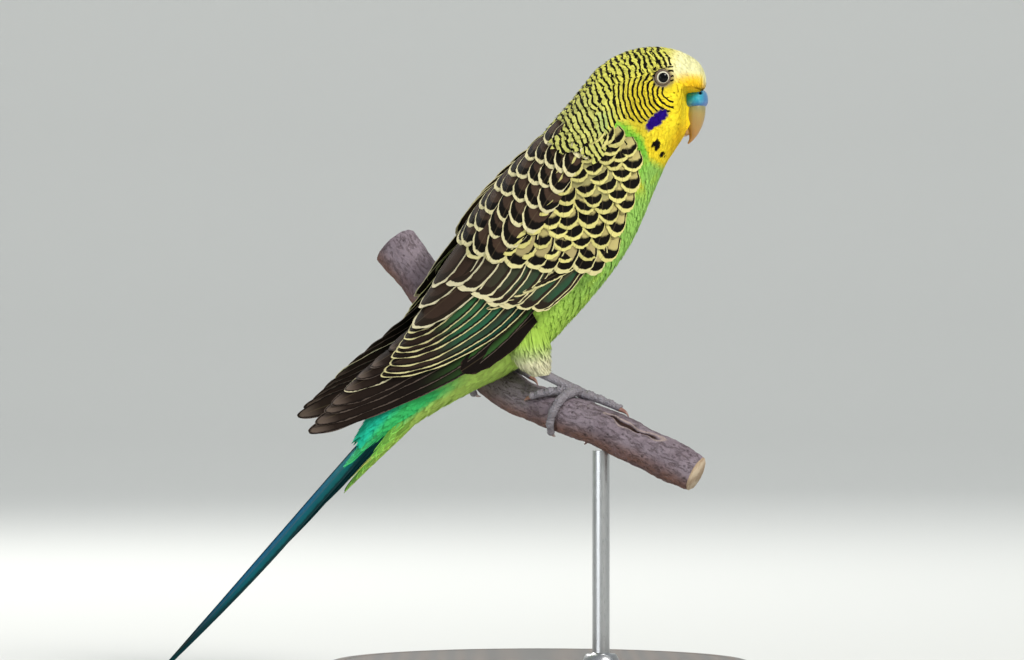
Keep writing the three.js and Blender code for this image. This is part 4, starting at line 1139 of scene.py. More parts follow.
def wing_feathers(side):
    """All feathers of one wing as one piece, from the long ones to the shoulder."""
    wing = Wing(side)
    vanes = Vanes()
    name = "right" if side > 0 else "left"

    def tier(
        count, roots, tips, width, narrow, low, high, roll, bend, blunt, pattern, rows, columns, sides,
        loose=1.0,
    ):
        """A row of feathers between three roots and three tips."""
        for k in range(count):
            t = k / max(count - 1, 1)
            t2 = min(1, max(0, t + rng.normal(0, 0.012 * loose)))
            tip = on_bend(tips, t2) + rng.normal(0, 0.15 * loose, 2)
            wing_vane(
                vanes, wing, on_bend(roots, t2), tip, lerp(width, narrow, t), low, high, roll, bend, blunt,
                pattern(t), rows, columns, sides=sides,
            )

    def primary(t):
        def pattern(v, u):
            outer = smooth(0.1, 0.6, -u)
            inner = mixed(WING_DARK, WING_BROWN, 0.5 * smooth(0.5, 1, v)[..., None] + 0 * u[..., None])
            inner = blend(inner, outer * (1 - smooth(0.25, 0.6, v)) * 0.7, WING_GREEN)
            inner = blend(inner, smooth(0.9, 0.99, v) * (1 + 0 * u) * 0.6, WORN_TIP)
            fringe = WING_CREAM if 0.5 < t < 0.62 else PRIMARY_FRINGE
            return inner, WING_DARK, fringe, 0.06 + 0.12 * smooth(0, -1, u) * smooth(1, 0.7, v), 0.3
        return pattern

    def secondary(t):
        def pattern(v, u):
            outer = smooth(-0.1, 0.7, -u)
            inner = mixed(WING_DARK, WING_BROWN, abs(math.sin(9 * t)))
            inner = np.broadcast_to(inner, (v.shape[0], u.shape[1], 3))
            gloss = outer * (1 - smooth(0.45, 0.75, v)) * (0.85 if t > 0.2 else 0.4)
            inner = blend(inner, gloss, mixed(WING_TEAL, WING_GREEN, t))
            return inner, WING_DARK, WING_PALE, 0.38 + 0 * v * u, 0.8
        return pattern

    def scaled(fringe_width, band_width, inner, band, fringe):
        def at(t):
            def pattern(v, u):
                return mixed(inner, band, 0.25 * t), band, fringe, fringe_width + 0 * v * u, band_width
            return pattern
        return at

    tier(
        count=8, roots=[[0.5, 94.5], [-8, 97.0], [-16.5, 100.5]],
        tips=[[-53.8, 62.4], [-49.6, 68.2], [-35.0, 81.0]], width=4.8, narrow=5.0, low=0.35, high=0.3,
        roll=1.0, bend=-0.5, blunt=0.78, pattern=primary, rows=28, columns=9, sides=1.6,
    )
    tier(
        count=9, roots=[[1.0, 96.5], [-8, 100.0], [-16.0, 105.0]],
        tips=[[-37.0, 75.2], [-33.6, 80.2], [-29.2, 87.2]], width=4.4, narrow=5.8, low=1.0, high=1.3,
        roll=0.9, bend=-0.4, blunt=0.66, pattern=secondary, rows=24, columns=9, sides=2.4,
    )
    tertial = scaled(
        fringe_width=0.8, band_width=2.6, inner=TERTIAL_BROWN, band=TERTIAL_BAND, fringe=WING_CREAM,
    )
    tier(
        count=3, roots=[[-9.5, 104.0], [-12, 108], [-14.6, 110.5]],
        tips=[[-29.4, 86.6], [-28.4, 90.6], [-25.2, 96.4]], width=7.4, narrow=7.8, low=1.7, high=2.1,
        roll=0.7, bend=0.8, blunt=0.55, pattern=tertial, rows=22, columns=11, sides=3.5,
    )

    def greater(t):
        def pattern(v, u):
            outer = smooth(-0.4, 0.5, -u)
            brown = np.broadcast_to(np.array(TERTIAL_BROWN), (v.shape[0], u.shape[1], 3))
            inner = blend(brown, outer * (1 - t) * 0.8 * (1 - smooth(0.6, 0.9, v)), COVERT_GLOSS)
            return inner, COVERT_BAND, mixed(WING_PALE, WING_CREAM, t), 0.5 + 0.8 * t + 0 * v * u, 2.2
        return pattern

    tier(
        count=10, roots=[[10.5, 101.0], [2, 104.0], [-12.5, 108.5]],
        tips=[[-1.5, 90.6], [-9.5, 91.8], [-22.5, 97.0]], width=4.8, narrow=6.6, low=1.5, high=2.0,
        roll=0.8, bend=-0.3, blunt=0.7, pattern=greater, rows=20, columns=11, sides=4.0, loose=3.0,
    )
    medium = scaled(fringe_width=0.9, band_width=2.0, inner=MEDIUM_YELLOW, band=BLACK, fringe=MEDIUM_FRINGE)
    tier(
        count=8, roots=[[14.2, 107.0], [5, 109.0], [-8.5, 112.5]],
        tips=[[11.2, 99.0], [-0.5, 99.0], [-17.0, 103.4]], width=5.6, narrow=6.4, low=1.9, high=2.5,
        roll=0.5, bend=-0.2, blunt=0.68, pattern=medium, rows=22, columns=13, sides=4.0, loose=2.2,
    )

    # Scaled coverts, row over row up to the shoulder
    last = len(COVERT_FRONT) - 1
    for k in range(COVERT_ROWS):
        share = k / (COVERT_ROWS - 1)
        ahead, behind = curve(COVERT_FRONT, share * last), curve(COVERT_BACK, share * last)
        middle = (ahead + behind) / 2 + [0, 5 * (1 - share)]
        tips = [np.array(px(*p)) for p in (ahead, middle, behind)]
        count = int(round(lerp(5, 3, share ** 1.5)))
        for i in range(count + 1):
            t = min(1, max(0, (i + 0.5 * (k % 2)) / count + rng.normal(0, 0.012)))
            tip = on_bend(tips, t) + rng.normal(0, 0.32, 2)
            flow = math.radians(lerp(lerp(-112, -72, share), lerp(-96, -66, share), t) + rng.normal(0, 3.5))
            root = tip - np.array([math.cos(flow), math.sin(flow)]) * lerp(7.0, 4.6, share)
            fringe = lerp(0.75, 0.45, share) * rng.uniform(0.8, 1.2)
            tone = rng.uniform(0.85, 1.1)
            band = lerp(1.75, 1.05, share) * rng.uniform(0.85, 1.2)
            yellow, pale = shade_of(SHOULDER_YELLOW, tone), shade_of(SHOULDER_FRINGE, tone)
            pattern = scaled(fringe, band, yellow, BLACK, pale)(t * 0.3)
            width = lerp(5.9, 5.2, share) * rng.uniform(0.92, 1.08)
            wing_vane(
                vanes, wing, root, tip, width=width, low=1.6 - 0.9 * share, high=2.55 + 0.1 * share,
                roll=0.4, bend=0, blunt=0.5, pattern=pattern, rows=20, columns=13, base=0.7, sides=5,
            )

    # Narrow dark feathers along the front edge
    edging = scaled(fringe_width=0.2, band_width=0.8, inner=EDGING_GREEN, band=WING_DARK, fringe=WING_PALE)
    for k in range(EDGING_COUNT):
        root = px(*(np.array(EDGING_ROOT) + k * np.array(EDGING_ROOT_STEP)))
        tip = px(*(np.array(EDGING_TIP) + k * np.array(EDGING_TIP_STEP)))
        wing_vane(
            vanes, wing, root, tip, width=2.3, low=1.3, high=2.4 - 0.1 * k, roll=0.5, bend=-0.8, blunt=0.35,
            pattern=edging(0.0), rows=22, columns=7, sides=1.2,
        )

    # Shoulder feathers over the back edge of the coverts
    scapular = scaled(
        fringe_width=0.7, band_width=1.7, inner=SCAPULAR_BROWN, band=BLACK, fringe=SCAPULAR_FRINGE,
    )
    for tips, count, length, width in SCAPULARS:
        line = [px(*p) for p in tips]
        for i in range(count):
            t = i / (count - 1)
            tip = on_bend(line, t) + rng.normal(0, 0.15, 2)
            flow = math.radians(lerp(-128, -118, t))
            root = tip - np.array([math.cos(flow), math.sin(flow)]) * length
            wing_vane(
                vanes, wing, root, tip, width=width, low=1.9, high=2.9, roll=-0.5, bend=0.6, blunt=0.6,
                pattern=scapular(t), rows=16, columns=11, base=0.6, sides=lerp(4, 12, rng.uniform()),
            )

    def dark(v, u):
        return WING_DARK, WING_DARK, WING_BROWN, 0.08 + 0 * v * u, 0.2

    wing_vane(
        vanes, wing, px(*FIRST_COVERT[0]), px(*FIRST_COVERT[1]), width=6.3, low=0.2, high=1.3, roll=0.3,
        bend=0.3, blunt=0.62, pattern=dark, rows=22, columns=9,
    )

    # The arm under the coverts
    n, m = 34, 16
    a = lerp(ARM[0, 0], ARM[-1, 0], np.linspace(0, 1, n) ** 1.3)
    outline = curve_by(ARM, a)
    t = np.linspace(0, 1, m)
    w0, w1 = wing.wrap(a, outline[:, 1], 1, 0.99), wing.wrap(a, outline[:, 2], 1, 0.99)
    ww = w0[:, None] + (w1 - w0)[:, None] * t[None, :]
    aa = a[:, None] + 0 * ww
    bulge = 2.2 * (1 - (2 * t[None, :] - 1) ** 4)
    start = np.sqrt(np.clip((a[:, None] + 0.5) / 6, 0, 1))
    rise = 0.3 + bulge * start * lerp(0.95, 0.1, smooth(0, 1, a / 58))[:, None]
    top, under = wing(aa, ww, rise), wing(aa, ww, 0 * rise)
    edge = np.full((n, m), 3.0)
    vanes.add(
        top, under, 0 * ww + 2.0, aa * 0.2, edge, inner=ARM_YELLOW, band=BLACK, fringe=ARM_FRINGE,
        fringe_width=0.1, band_width=0.1,
    )
    vanes.build(f"wing_feathers_{name}", "plumage_wing", WING_MATERIAL, (f"wing_{name}",))


TAIL_TEAL = (0.006, 0.17, 0.17)
TAIL_BLUE = (0.006, 0.095, 0.20)
TAIL_SIDE = (0.003, 0.105, 0.085)
TAIL_TIP = (0.003, 0.009, 0.011)
TAIL_BAND = (0.004, 0.03, 0.035)
TAIL_YELLOW = (0.55, 0.64, 0.16)
TAIL_DARK_FRINGE = (0.004, 0.035, 0.04)
# Colours of the tail coverts at their middle and their sides
OVER_COVERTS = (0.02, 0.50, 0.33), (0.06, 0.55, 0.16)
UNDER_COVERTS = (0.42, 0.68, 0.10), (0.22, 0.60, 0.10)
COVERT_RADIUS = ((-6, 5.3), (0, 4.7), (8, 4.0), (16, 3.3), (30, 2.4))
COVERT_DROP = ((0, 2.3), (30, 1.7))
# Tail feathers from the middle pair outwards: length, width, distance from the middle and depth
RECTRICES = [
    [84.6, 5.4, 1.4, 0.0],
    [61.0, 5.2, 2.0, 0.8],
    [43.0, 5.0, 2.4, 1.6],
    [33.0, 4.8, 2.6, 2.3],
    [26.0, 4.6, 2.8, 3.0],
    [20.0, 4.4, 2.9, 3.6],
]


def tail_feathers():
    """The tail's long feathers in pairs, and the coverts over their roots, as one piece."""
    vanes = Vanes()
    for k, (length, width, offset, depth) in enumerate(RECTRICES):
        for side in (1, -1):
            rows, columns = 34 if k < 2 else 24, 9
            v = (np.linspace(0, 1, rows) ** 0.85)[:, None]
            u = np.sin(np.linspace(-1, 1, columns) * math.pi / 2)[None, :]
            taper = np.where(v > 0.5, 1 - 0.95 * (np.clip(v - 0.5, 0, 1) / 0.5) ** 1.6, 1)
            wide = width * lerp(0.8, 1, smooth(0, 0.3, v)) * taper * 0.8
            inner_edge = lerp(offset * 0.2, -0.35, smooth(0, 0.4, v))
            out = inner_edge + wide * (u + 1) / 2
            t = (u + 1) / 2
            fall = -depth * (1 - 0.45 * v) - np.maximum(0, out) * 0.62 - 0.9 * (t - 0.3) ** 2
            along = length * v + 0 * u
            fall = fall + 1.3
            top = tail_point(along, side * out, fall)
            under = tail_point(along, side * out, fall - 0.16)
            edge = np.minimum((1 - np.abs(u)) * wide / 2, (1 - v) * length * 0.4)
            outer = smooth(0.1, 0.9, t)
            base = np.broadcast_to(np.array(TAIL_TEAL), (rows, columns, 3))
            base = blend(base, smooth(8, 34, along), TAIL_BLUE)
            base = blend(base, outer * (0.75 if k == 0 else 0.9) * smooth(0, 20, along), TAIL_SIDE)
            base = blend(base, smooth(52, 80, along), TAIL_TIP)
            fringe, fringe_width = (TAIL_YELLOW, 0.45) if k > 2 else (TAIL_DARK_FRINGE, 0.1)
            vanes.add(
                top, under, u * wide / 2, along, np.maximum(edge, 0), inner=base, band=TAIL_BAND,
                fringe=fringe, fringe_width=fringe_width, band_width=0.2,
            )
    # Long coverts over the roots, above and below
    for face, step, colours in ((1, 2.3, OVER_COVERTS), (-1, 2.2, UNDER_COVERTS)):
        for i in range(10):
            start = i * step
            count = 7
            for j in range(count):
                t = (j + 0.5 + 0.5 * (i % 2)) / count * 2 - 1
                length, width = 12.0 - 0.3 * i, 3.0
                v = np.linspace(0, 1, 12)[:, None]
                u = np.linspace(-1, 1, 5)[None, :]
                half = width / 2 * vane_width(v, 0.3)
                along = start - 6 + length * v + 0 * u + rng.normal(0, 0.5)
                radius = read_off(COVERT_RADIUS, along)
                turn = t * lerp(1.45, 0.5, (i / 9) ** 1.6) + u * half / radius
                lift = 0.05 + 0.15 * v + 0.03 * (9 - i)
                out = (radius + lift) * np.sin(turn)
                up = (radius * 0.72 + lift) * np.cos(turn) * face - read_off(COVERT_DROP, along)
                top = tail_point(along, out, up)
                under = tail_point(along, out * 0.98, up - 0.12 * face)
                edge = np.minimum((1 - np.abs(u)) * half, (1 - v) * length)
                tint = mixed(*colours, smooth(0.2, 1.0, np.abs(t)))
                colour = shade_of(tint, rng.uniform(0.75, 1.15))
                vanes.add(
                    top, under, u * half, along, np.maximum(edge, 0), inner=colour,
                    band=shade_of(colour, 0.7), fringe=shade_of(colour, 1.2), fringe_width=0.12,
                    band_width=0.35,
                )
    vanes.build("tail_feathers", "plumage_tail", WING_MATERIAL, ("tail",))


# Materials in use

COAT_MATERIAL = plumage("plumage_soft")
WING_MATERIAL = vane_material("plumage_vanes")


def skin():
    """One skin from bill to tail, under the small feathers."""
    rows, around = 240, 120
    s = np.linspace(0.02, 18.6, rows)[:, None]
    angle = (np.arange(around) / around * 2 * math.pi)[None, :]
    depth = read_off(SKIN_DEPTH, s)
    points = body(s + 0 * angle, angle + 0 * s, -depth + 0 * angle)
    colour, bars, arcs = markings(s + 0 * angle, angle + 0 * s)
    flat = points.reshape(-1, 3)
    faces = grid_faces(rows, around, True)
    ends = np.stack([points[0].mean(0), points[-1].mean(0)])
    flat = np.concatenate([flat, ends])
    for j in range(around):
        k = (j + 1) % around
        faces.append((k, j, rows * around))
        faces.append(((rows - 1) * around + j, (rows - 1) * around + k, rows * around + 1))
    faces = outward(flat, faces)
    # Painted shade: the skin takes the plumage colours a little darker, so it reads as shade where it shows
    # between the feathers
    tint = np.concatenate([colour.reshape(-1, 3) * 0.9, [GOLD, TURQUOISE]])
    bars = np.concatenate([bars.reshape(-1, 3), np.zeros((2, 3))])
    arcs = np.concatenate([arcs.reshape(-1, 3), np.zeros((2, 3))])
    eye = np.hypot(flat[:, 0] - EYE[0], flat[:, 2] - EYE[1])
    bare = (1 - smooth(2.0, 2.6, eye)) * (flat[:, 0] > 20)
    tint = blend(tint, bare, BARE_SKIN)
    bars[:, 1] *= 1 - bare
    arcs[:, 1] *= 1 - bare
    uv = np.broadcast_arrays(angle / (2 * math.pi) * 0.96 + 0.02, s / 20 * 0.96 + 0.02)
    uv = np.concatenate([np.stack(uv, -1).reshape(-1, 2), [[0.5, 0.02], [0.5, 0.95]]])
    make(
        "skin", flat, faces, "plumage_body", COAT_MATERIAL, ("head", "neck", "torso"),
        colours={"tint": tint},
        values={"bars": bars, "arcs": arcs, "barbs": np.zeros((len(flat), 3))},
        uv=uv,
    )


def bare_places(s, angle):
    """Where no small feather grows: round the eyes, on bill and cere, and under the wings."""
    p = body(s, angle)
    x, y, z = p[:, 0], p[:, 1], p[:, 2]
    eye = np.hypot((x - EYE[0] - 0.35) / 2.25, (z - EYE[1]) / 1.85) < 1
    cere = (np.hypot((x - CERE[0]) / 2.6, (z - CERE[1]) / 1.9) < 1) & (np.abs(y) < 5)
    bill = (x > 33.9) & (z < 139.5) & (z > 129.0)
    wing = Wing(1)
    a, b = wing.place(x, z)
    row = curve_by(ARM, a)
    under = (a > 6) & (a < 52) & (b > row[:, 1] + 2.5) & (b < row[:, 2] - 3.5) & (np.abs(y) > 7)
    return ~(eye | cere | bill | under)


def sizes(s):
    return float(read_off(FEATHER_LENGTH, s)), float(read_off(FEATHER_WIDTH, s))


def mantle_sizes(s):
    return float(read_off(MANTLE_LENGTH, s)), MANTLE_WIDTH


def over_wing(s, angle):
    """Where the feathers of the nape lie over the wing's upper edge."""
    return (np.cos(angle) < 0.88) & (np.cos(angle) > 0.10 + 0.35 * np.abs(s - 8.2))


def mantle_lift(s, angle):
    return 0.1 + read_off(MANTLE_LIFT, s) * smooth(0.9, 0.5, np.cos(angle))


skin()
coat("coat_head", (0.9, 6.6), COAT_MATERIAL, "plumage_head", sizes, spread=(0.22, 0.38), mask=bare_places)
coat(
    "coat_mantle", (7.2, 9.5), COAT_MATERIAL, "plumage_head", mantle_sizes, spread=(0.13, 0.42),
    mask=over_wing, lift=mantle_lift, barred=True,
)
coat("coat_body", (6.6, 17.9), COAT_MATERIAL, "plumage_body", sizes, spread=(0.23, 0.38), mask=bare_places)

THIGH_CORE = (0.72, 0.72, 0.42)
THIGH_PALE = (0.74, 0.71, 0.47)
THIGH_FEATHERS = 1500
THIGH_END = 2.75


def thighs():
    """Loose feathers round each thigh, over a core."""
    for name, rows in LEGS.items():
        def surface(a, b, h=0.0, rows=rows):
            row = curve(rows, a)
            turn = np.asarray(b)
            ring = np.stack([np.cos(turn), np.sin(turn), 0.15 * np.cos(turn)], -1)
            return row[..., :3] + ring * (row[..., 3] + h)[..., None]

        around = 24
        turn = np.arange(around) / around * 2 * math.pi
        inside = np.full(around, -0.9)
        rings = [surface(np.full(around, v), turn, inside) for v in np.linspace(0, THIGH_END, 14)]
        points, faces = capped(rings)
        plain = np.zeros((len(points), 3))
        # Painted shade: the core is coloured at 0.7 of its own tone, so the gaps between the loose feathers
        # read as shade
        make(
            f"thigh_core_{name}", points, faces, "plumage_thigh", COAT_MATERIAL, (f"thigh_{name}",),
            colours={"tint": plain + np.array(THIGH_CORE) * 0.7},
            values={"bars": plain, "barbs": plain},
            uv=np.stack([points[:, 0] * 0.01 + 0.5, points[:, 2] * 0.005], -1),
        )

        n = THIGH_FEATHERS
        a = np.sort(rng.uniform(0.0, THIGH_END, n))
        b = rng.uniform(0, 2 * math.pi, n)
        length = rng.uniform(3.6, 5.2, n) * np.interp(a, [0, THIGH_END], [1, 0.75])
        width = rng.uniform(0.45, 0.9, n)
        low, high = np.full(n, -0.8), rng.uniform(-0.5, 0.45, n)
        pts, aa, _, barbs = lay(
            surface, a, b, length, width, turn=rng.normal(0, 0.15, n), low=low, high=high, camber=0.15,
        )
        base = mixed(shade_of(BELLY, 0.85), THIGH_PALE, smooth(0.6, 1.9, aa)[..., None])
        # Painted shade: each loose feather is darker towards its root, where the others shade it
        shade = lerp(0.86, 1.05, FEATHER_ROWS)[None, :, None, None]
        tint = base * rng.uniform(0.85, 1.15, (n, 1, 1, 1)) * shade
        flat = pts.reshape(-1, 3)
        outwards = (pts - curve(rows, np.clip(aa, 0, 3))[..., :3]).reshape(-1, 3)
        faces = facing(flat, feather_faces(n), outwards)
        make(
            f"coat_thigh_{name}", flat, faces, "plumage_thigh", COAT_MATERIAL,
            colours={"tint": np.clip(tint.reshape(-1, 3), 0, 1)},
            values={"bars": np.zeros((len(flat), 3)), "barbs": barbs},
            uv=feather_map(b / 7 + 0.02, a / 4 + 0.02), normals=outwards,
        )


thighs()
for wing_side in (1, -1):
    wing_feathers(wing_side)
tail_feathers()


# Head parts

LID_WIDE, LID_HIGH = 1.62, 1.56
LID_STEPS, LID_ROUND = 72, 12
LID_PALE = (0.22, 0.15, 0.09)
LID_DARK = (0.08, 0.05, 0.03)


def ribbed(ribs, rows, around):
    """A closed form through ribs."""
    s = np.linspace(0, len(ribs) - 1, rows)
    angle = np.arange(around) / around * 2 * math.pi
    return capped(rib_point(np.array(ribs), s[:, None] + 0 * angle, angle[None, :] + 0 * s[:, None]))


def oval(centre, radii, rows, around, tilt=0.0, full=1.0):
    """Rings of points of an egg form. It is squarer where full is below 1."""
    v = np.linspace(0.02, math.pi - 0.02, rows)[:, None]
    u = (np.arange(around) / around * 2 * math.pi)[None, :]
    wide, high = np.sin(v) ** full, np.sign(np.cos(v)) * np.abs(np.cos(v)) ** full
    p = np.stack([wide * np.cos(u) * radii[0], wide * np.sin(u) * radii[1], high * radii[2] + 0 * u], -1)
    c, s = math.cos(tilt), math.sin(tilt)
    p = np.stack([p[..., 0] * c + p[..., 2] * s, p[..., 1], -p[..., 0] * s + p[..., 2] * c], -1)
    return p + np.asarray(centre)


def head_parts():
    horn = bill_material()
    points, faces = ribbed(UPPER_BILL, rows=60, around=48)
    make("bill_top", points, faces, "bill", horn, ("bill_upper",))
    points, faces = ribbed(LOWER_BILL, rows=30, around=40)
    make("bill_bottom", points, faces, "bill", horn, ("bill_lower",))
    rings = oval((CERE[0], 0, CERE[1] - 0.3), (2.85, 3.55, 2.3), rows=56, around=72, tilt=-0.12, full=0.76)
    swell = 1 + 0.05 * np.cos(2 * np.arctan2(rings[..., 1], rings[..., 0] - CERE[0]))
    rings = (rings - [CERE[0], 0, CERE[1]]) * swell[..., None] + [CERE[0], 0, CERE[1]]
    for side in (1, -1):
        reach = np.hypot(rings[..., 0] - NOSTRIL[0], (rings[..., 2] - NOSTRIL[1]) * 1.15)[..., None]
        reach = reach + 40 * (rings[..., 1:2] * side > 0)
        rings = rings + np.array([-0.1, side * 1.0, -0.35]) * 0.9 * np.exp(-(reach / 0.36) ** 4)
        rings = rings + unit(rings - [CERE[0], 0, CERE[1]]) * 0.14 * np.exp(-((reach - 0.68) / 0.22) ** 2)
    points, faces = capped(rings)
    make("cere_skin", points, faces, "cere", cere_material(), ("cere",))
    ball = eye_material()
    lid = skin_material("eye_lid", pale=LID_PALE, dark=LID_DARK, rough=0.55, scale=2600, depth=0.0001)
    for name, side in (("right", 1), ("left", -1)):
        centre = (EYE[0], -side * EYE_OUT, EYE[1])
        points, faces = capped(oval(centre, (EYE_RADIUS,) * 3, rows=36, around=48))
        make(f"eyeball_{name}", points, faces, "eye", ball, (f"eye_{name}",))
        rings = []
        for t in np.linspace(0, 2 * math.pi, LID_STEPS, endpoint=False):
            c, s = math.cos(t), math.sin(t)
            thick = 0.27 + 0.03 * math.cos(20 * t)
            out = -side * (EYE_OUT + 1.66 - 0.05 * c - 0.10 * s)
            middle = np.array([EYE[0] + LID_WIDE * c, out, EYE[1] + LID_HIGH * s])
            ring = np.arange(LID_ROUND) / LID_ROUND * 2 * math.pi
            away, aside = np.array([c, 0, s]), np.array([0, -side * 1.0, 0])
            rings.append(middle + thick * (np.cos(ring)[:, None] * away + np.sin(ring)[:, None] * aside))
        faces = []
        for i in range(LID_STEPS):
            for j in range(LID_ROUND):
                here, there = i * LID_ROUND, (i + 1) % LID_STEPS * LID_ROUND
                after = (j + 1) % LID_ROUND
                faces.append((here + j, here + after, there + after, there + j))
        points = np.array(rings).reshape(-1, 3)
        make(f"eye_lid_{name}", points, outward(points - points.mean(0), faces), "foot", lid)


head_parts()


# Feet, perch and stand

SCALE_PALE = (0.33, 0.33, 0.38)
SCALE_DARK = (0.16, 0.13, 0.14)
CLAW_REACH = 3.1


def toe_line(foot, toe, t, radius):
    """The middle of a toe at share t of its length, so that it rests on the perch."""
    start, end, first, last = toe
    return perch_point(foot + lerp(start, end, t), np.radians(lerp(first, last, t)), radius + 0.12)


def feet():
    scales = skin_material(
        "foot_scales", pale=SCALE_PALE, dark=SCALE_DARK, rough=0.6, scale=1200, depth=0.0004,
    )
    horn = claw_material()
    for name in ("right", "left"):
        foot = FOOT[name]
        middle = perch_point(foot, 0.02 if name == "right" else 0.0, 0.95 + 0.6)
        knee = lerp(np.array(LEGS[name][3][:3]), np.array(LEGS[name][2][:3]), 0.5)
        parts = []
        v = np.linspace(0.0, 1, 26)
        line = lerp(knee, middle, v[:, None])
        parts.append(tube(line, 1.08 + 0.07 * np.cos(v * 75) ** 2 + 0.15 * smooth(0.85, 1, v), around=18))
        parts.append(capped(oval(middle, (1.5, 1.4, 1.05), rows=16, around=24)))
        for i, toe in enumerate(TOES[name]):
            v = np.linspace(0, 1, 44)
            radius = lerp(1.08, 0.74, v) + 0.13 * np.cos(v * math.pi * 4) ** 2 + 0.05 * np.cos(v * 90)
            line = np.array([toe_line(foot, toe, t, r) for t, r in zip(v, radius)])
            line[0] = middle
            line[1] = lerp(middle, line[2], 0.5)
            parts.append(tube(line, radius, around=16))
            end = toe_line(foot, toe, 1.0, 0.62)
            before = toe_line(foot, toe, 0.9, 0.62)
            along = unit(end - before)
            inward = unit(perch_frame(np.array(foot + toe[1]))[0] - end)
            inward = unit(inward - along * np.dot(inward, along))
            u = np.linspace(-0.18, 1, 16)
            reach = CLAW_REACH * u + 0.1
            hook = 0.34 * u * np.abs(u) * CLAW_REACH - 0.3 * u
            path = end + along * (reach * (1 - 0.18 * u))[:, None] + inward * hook[:, None]
            points, faces = tube(path, lerp(0.56, 0.10, np.clip(u, 0, 1) ** 1.2), around=14)
            make(f"claw_horn_{name}_{i + 1}", points, faces, "claw", horn, (f"claw_{name}_{i + 1}",))
        points, faces = joined(parts)
        make(f"foot_skin_{name}", points, faces, "foot", scales, (f"foot_{name}",))


# The knot in the branch: place along it and round it, and its two sizes
KNOT = (1.55, 1.2)
KNOT_SIZE = (0.16, 0.42)


def perch():
    """The branch with its bark, a torn flake and a knot, sawn at both ends."""
    rows, around = 360, 96
    t = np.linspace(0, len(PERCH) - 1, rows)[:, None] + np.zeros((1, around))
    angle = (np.arange(around) / around * 2 * math.pi)[None, :] + 0 * t
    raw = perch_point(t, angle, bark(t, angle))
    ridges = np.stack([t * 2.2, np.cos(angle) * 3, np.sin(angle) * 3], -1)
    rough = 0.10 * waves(raw, scale=1.1, seed=21) + 0.05 * waves(raw, scale=3.1, seed=22)
    rough = rough + 0.10 * np.maximum(0, waves(ridges, scale=1.6, seed=24))
    line = angle - 0.62 - 0.10 * np.sin(t * 5.0) - 0.05 * np.sin(t * 17)
    line = np.mod(line + math.pi, 2 * math.pi) - math.pi
    split = np.exp(-(line / (0.13 + 0.05 * np.sin(t * 9))) ** 2)
    split = split * smooth(5.95, 6.15, t) * smooth(7.35, 6.95, t)
    from_knot = ((t - KNOT[0]) / KNOT_SIZE[0]) ** 2 + ((angle - KNOT[1]) / KNOT_SIZE[1]) ** 2
    knot = np.exp(-from_knot)
    ring = np.exp(-((np.sqrt(from_knot) - 1.2) / 0.4) ** 2)
    raw = perch_point(t, angle, bark(t, angle) + rough - 0.85 * split + 0.25 * ring - 0.3 * knot - 0.12)
    points, faces = capped(raw)
    grain = np.stack([t * 12, np.cos(angle) * 4, np.sin(angle) * 4], -1).reshape(-1, 3)
    grain = np.concatenate([grain, [[0, 0, 0], [96, 0, 0]]])
    crack = np.concatenate([np.clip(split + 0.8 * knot, 0, 1).ravel(), [0, 0]])
    piece = make(
        "perch_bark", points, faces, "bark", bark_material(), ("perch",),
        values={"grain": grain, "crack": crack},
    )
    piece.data.materials.append(cut_wood_material())
    index = np.zeros(len(faces), np.int32)
    index[np.array([max(f) >= rows * around for f in faces])] = 1
    piece.data.polygons.foreach_set("material_index", index)


# Radii and heights of the stand's base and rod, and where the rod stands
BASE_PROFILE = (
    (0.01, 0.0), (49.2, 0.0), (49.8, 0.25), (50.0, 0.8), (50.0, 7.2), (49.75, 8.1), (49.0, 8.75),
    (48.2, 9.0), (46.0, 9.0), (45.6, 8.85), (45.2, 9.0), (0.01, 9.0),
)
ROD_PROFILE = (
    (0.01, 9.0), (4.35, 9.0), (4.4, 9.2), (4.3, 9.7), (3.6, 11.2), (3.3, 11.4), (2.3, 11.45),
    (2.0, 11.7), (2.0, 58.2), (0.01, 58.2),
)
ROD_PLACE = (14, -11)
SHARP_EDGE = math.radians(35)


def turned(profile, around, x=0, y=0):
    """A closed form turned round an upright line, from radii and heights."""
    turn = np.arange(around) / around * 2 * math.pi
    out, aside = np.cos(turn), np.sin(turn)
    return capped([np.stack([x + r * out, y + r * aside, z + 0 * turn], -1) for r, z in profile])


def stand():
    points, faces = turned(BASE_PROFILE, 128)
    base = make("stand_wood_base", points, faces, "stand_wood", wood_material(), ("stand_base",))
    points, faces = turned(ROD_PROFILE, 40, *ROD_PLACE)
    rod = make("stand_steel_rod", points, faces, "stand_steel", steel_material(), ("stand_rod",))
    for piece in (base, rod):
        bpy.ops.object.select_all(action="DESELECT")
        piece.select_set(True)
        bpy.context.view_layer.objects.active = piece
        bpy.ops.object.shade_smooth_by_angle(angle=SHARP_EDGE)


feet()
perch()
stand()


# Stage, lights and camera

# Radii and heights of the paper, in metres, beyond its middle point
PAPER_PROFILE = (
    (0.5, 0.0), (1.0, 0.0), (1.6, 0.0), (1.9, 0.02), (2.15, 0.09), (2.35, 0.22), (2.48, 0.42),
    (2.52, 0.7), (2.52, 1.5),
)
PAPER = (0.62, 0.63, 0.61, 1)
SKY = (0.75, 0.8, 0.85, 1)
SKY_STRENGTH = 0.42
WARM, SOFT_WARM, COOL = (1.0, 0.97, 0.92), (1.0, 0.98, 0.95), (0.94, 0.97, 1.0)
# Middle of the bird and foot of the wall, at which the lamps are aimed
BIRD_MIDDLE = (0, 0, 0.1)
WALL_FOOT = (0, 2.4, 0.1)
CAMERA_PLACE = (-0.0065, -1.2, 0.086)
CAMERA_LENS = 181.4
CAMERA_NEAR = 0.05


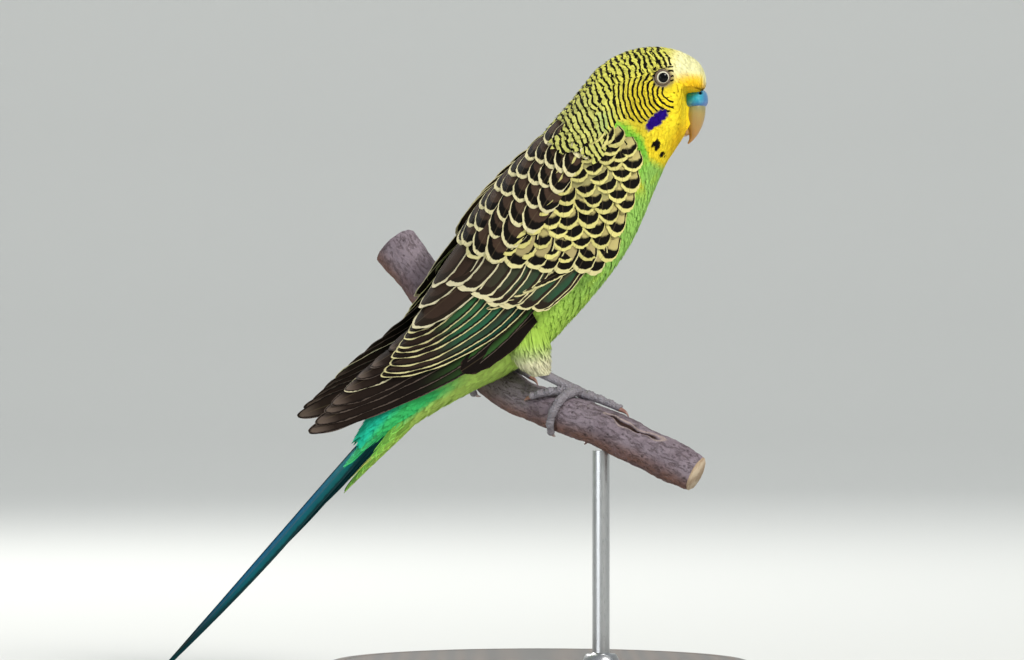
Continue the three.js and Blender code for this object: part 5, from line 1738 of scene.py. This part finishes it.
def stage():
    """A round sheet of paper that bends up into a wall."""
    g = Graph("stage_paper", roughness=0.9, specular=0.2)
    g.set("Base Color", PAPER)
    around = 96
    turn = np.arange(around) / around * 2 * math.pi
    points = [(r * math.cos(t), r * math.sin(t), z) for r, z in PAPER_PROFILE for t in turn] + [(0, 0, 0)]
    rows = len(PAPER_PROFILE)
    faces = [tuple(reversed(f)) for f in grid_faces(rows, around, True)]
    faces += [(rows * around, j, (j + 1) % around) for j in range(around)]
    mesh = bpy.data.meshes.new("stage_floor")
    mesh.from_pydata(points, [], faces)
    mesh.polygons.foreach_set("use_smooth", [True] * len(faces))
    mesh.materials.append(g.material)
    floor = bpy.data.objects.new("stage_floor", mesh)
    bpy.context.collection.objects.link(floor)
    floor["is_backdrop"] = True


def lamp(name, place, aim, power, size, colour=(1, 1, 1)):
    data = bpy.data.lights.new(name, "AREA")
    data.energy = power
    data.shape = "DISK"
    data.size = size
    data.color = colour
    light = bpy.data.objects.new(name, data)
    bpy.context.collection.objects.link(light)
    light.location = place
    light.rotation_euler = (Vector(aim) - Vector(place)).to_track_quat("-Z", "Y").to_euler()


stage()
lamp("key", (0.55, -0.75, 0.75), BIRD_MIDDLE, power=10.5, size=0.30, colour=WARM)
lamp("fill", (-0.7, -0.9, 0.12), BIRD_MIDDLE, power=5.0, size=0.8, colour=COOL)
lamp("back", (-0.4, 0.7, 0.7), BIRD_MIDDLE, power=5.5, size=0.4, colour=SOFT_WARM)
lamp("wall", (0.0, 0.6, 1.7), WALL_FOOT, power=21, size=0.9)
world = bpy.data.worlds.new("studio")
bpy.context.scene.world = world
world.use_nodes = True
background = world.node_tree.nodes["Background"]
background.inputs[0].default_value = SKY
background.inputs[1].default_value = SKY_STRENGTH

camera = bpy.data.objects.new("camera", bpy.data.cameras.new("camera"))
bpy.context.collection.objects.link(camera)
camera.location = CAMERA_PLACE
camera.rotation_euler = (math.pi / 2, 0, 0)
camera.data.lens = CAMERA_LENS
camera.data.sensor_width = 36
camera.data.clip_start = CAMERA_NEAR
bpy.context.scene.camera = camera
bpy.context.scene.view_settings.view_transform = "Standard"

plain = lambda box: [[float(v) for v in corner] for corner in box]
{"cad": plain(CAD_BOX), "visual": plain(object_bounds())}
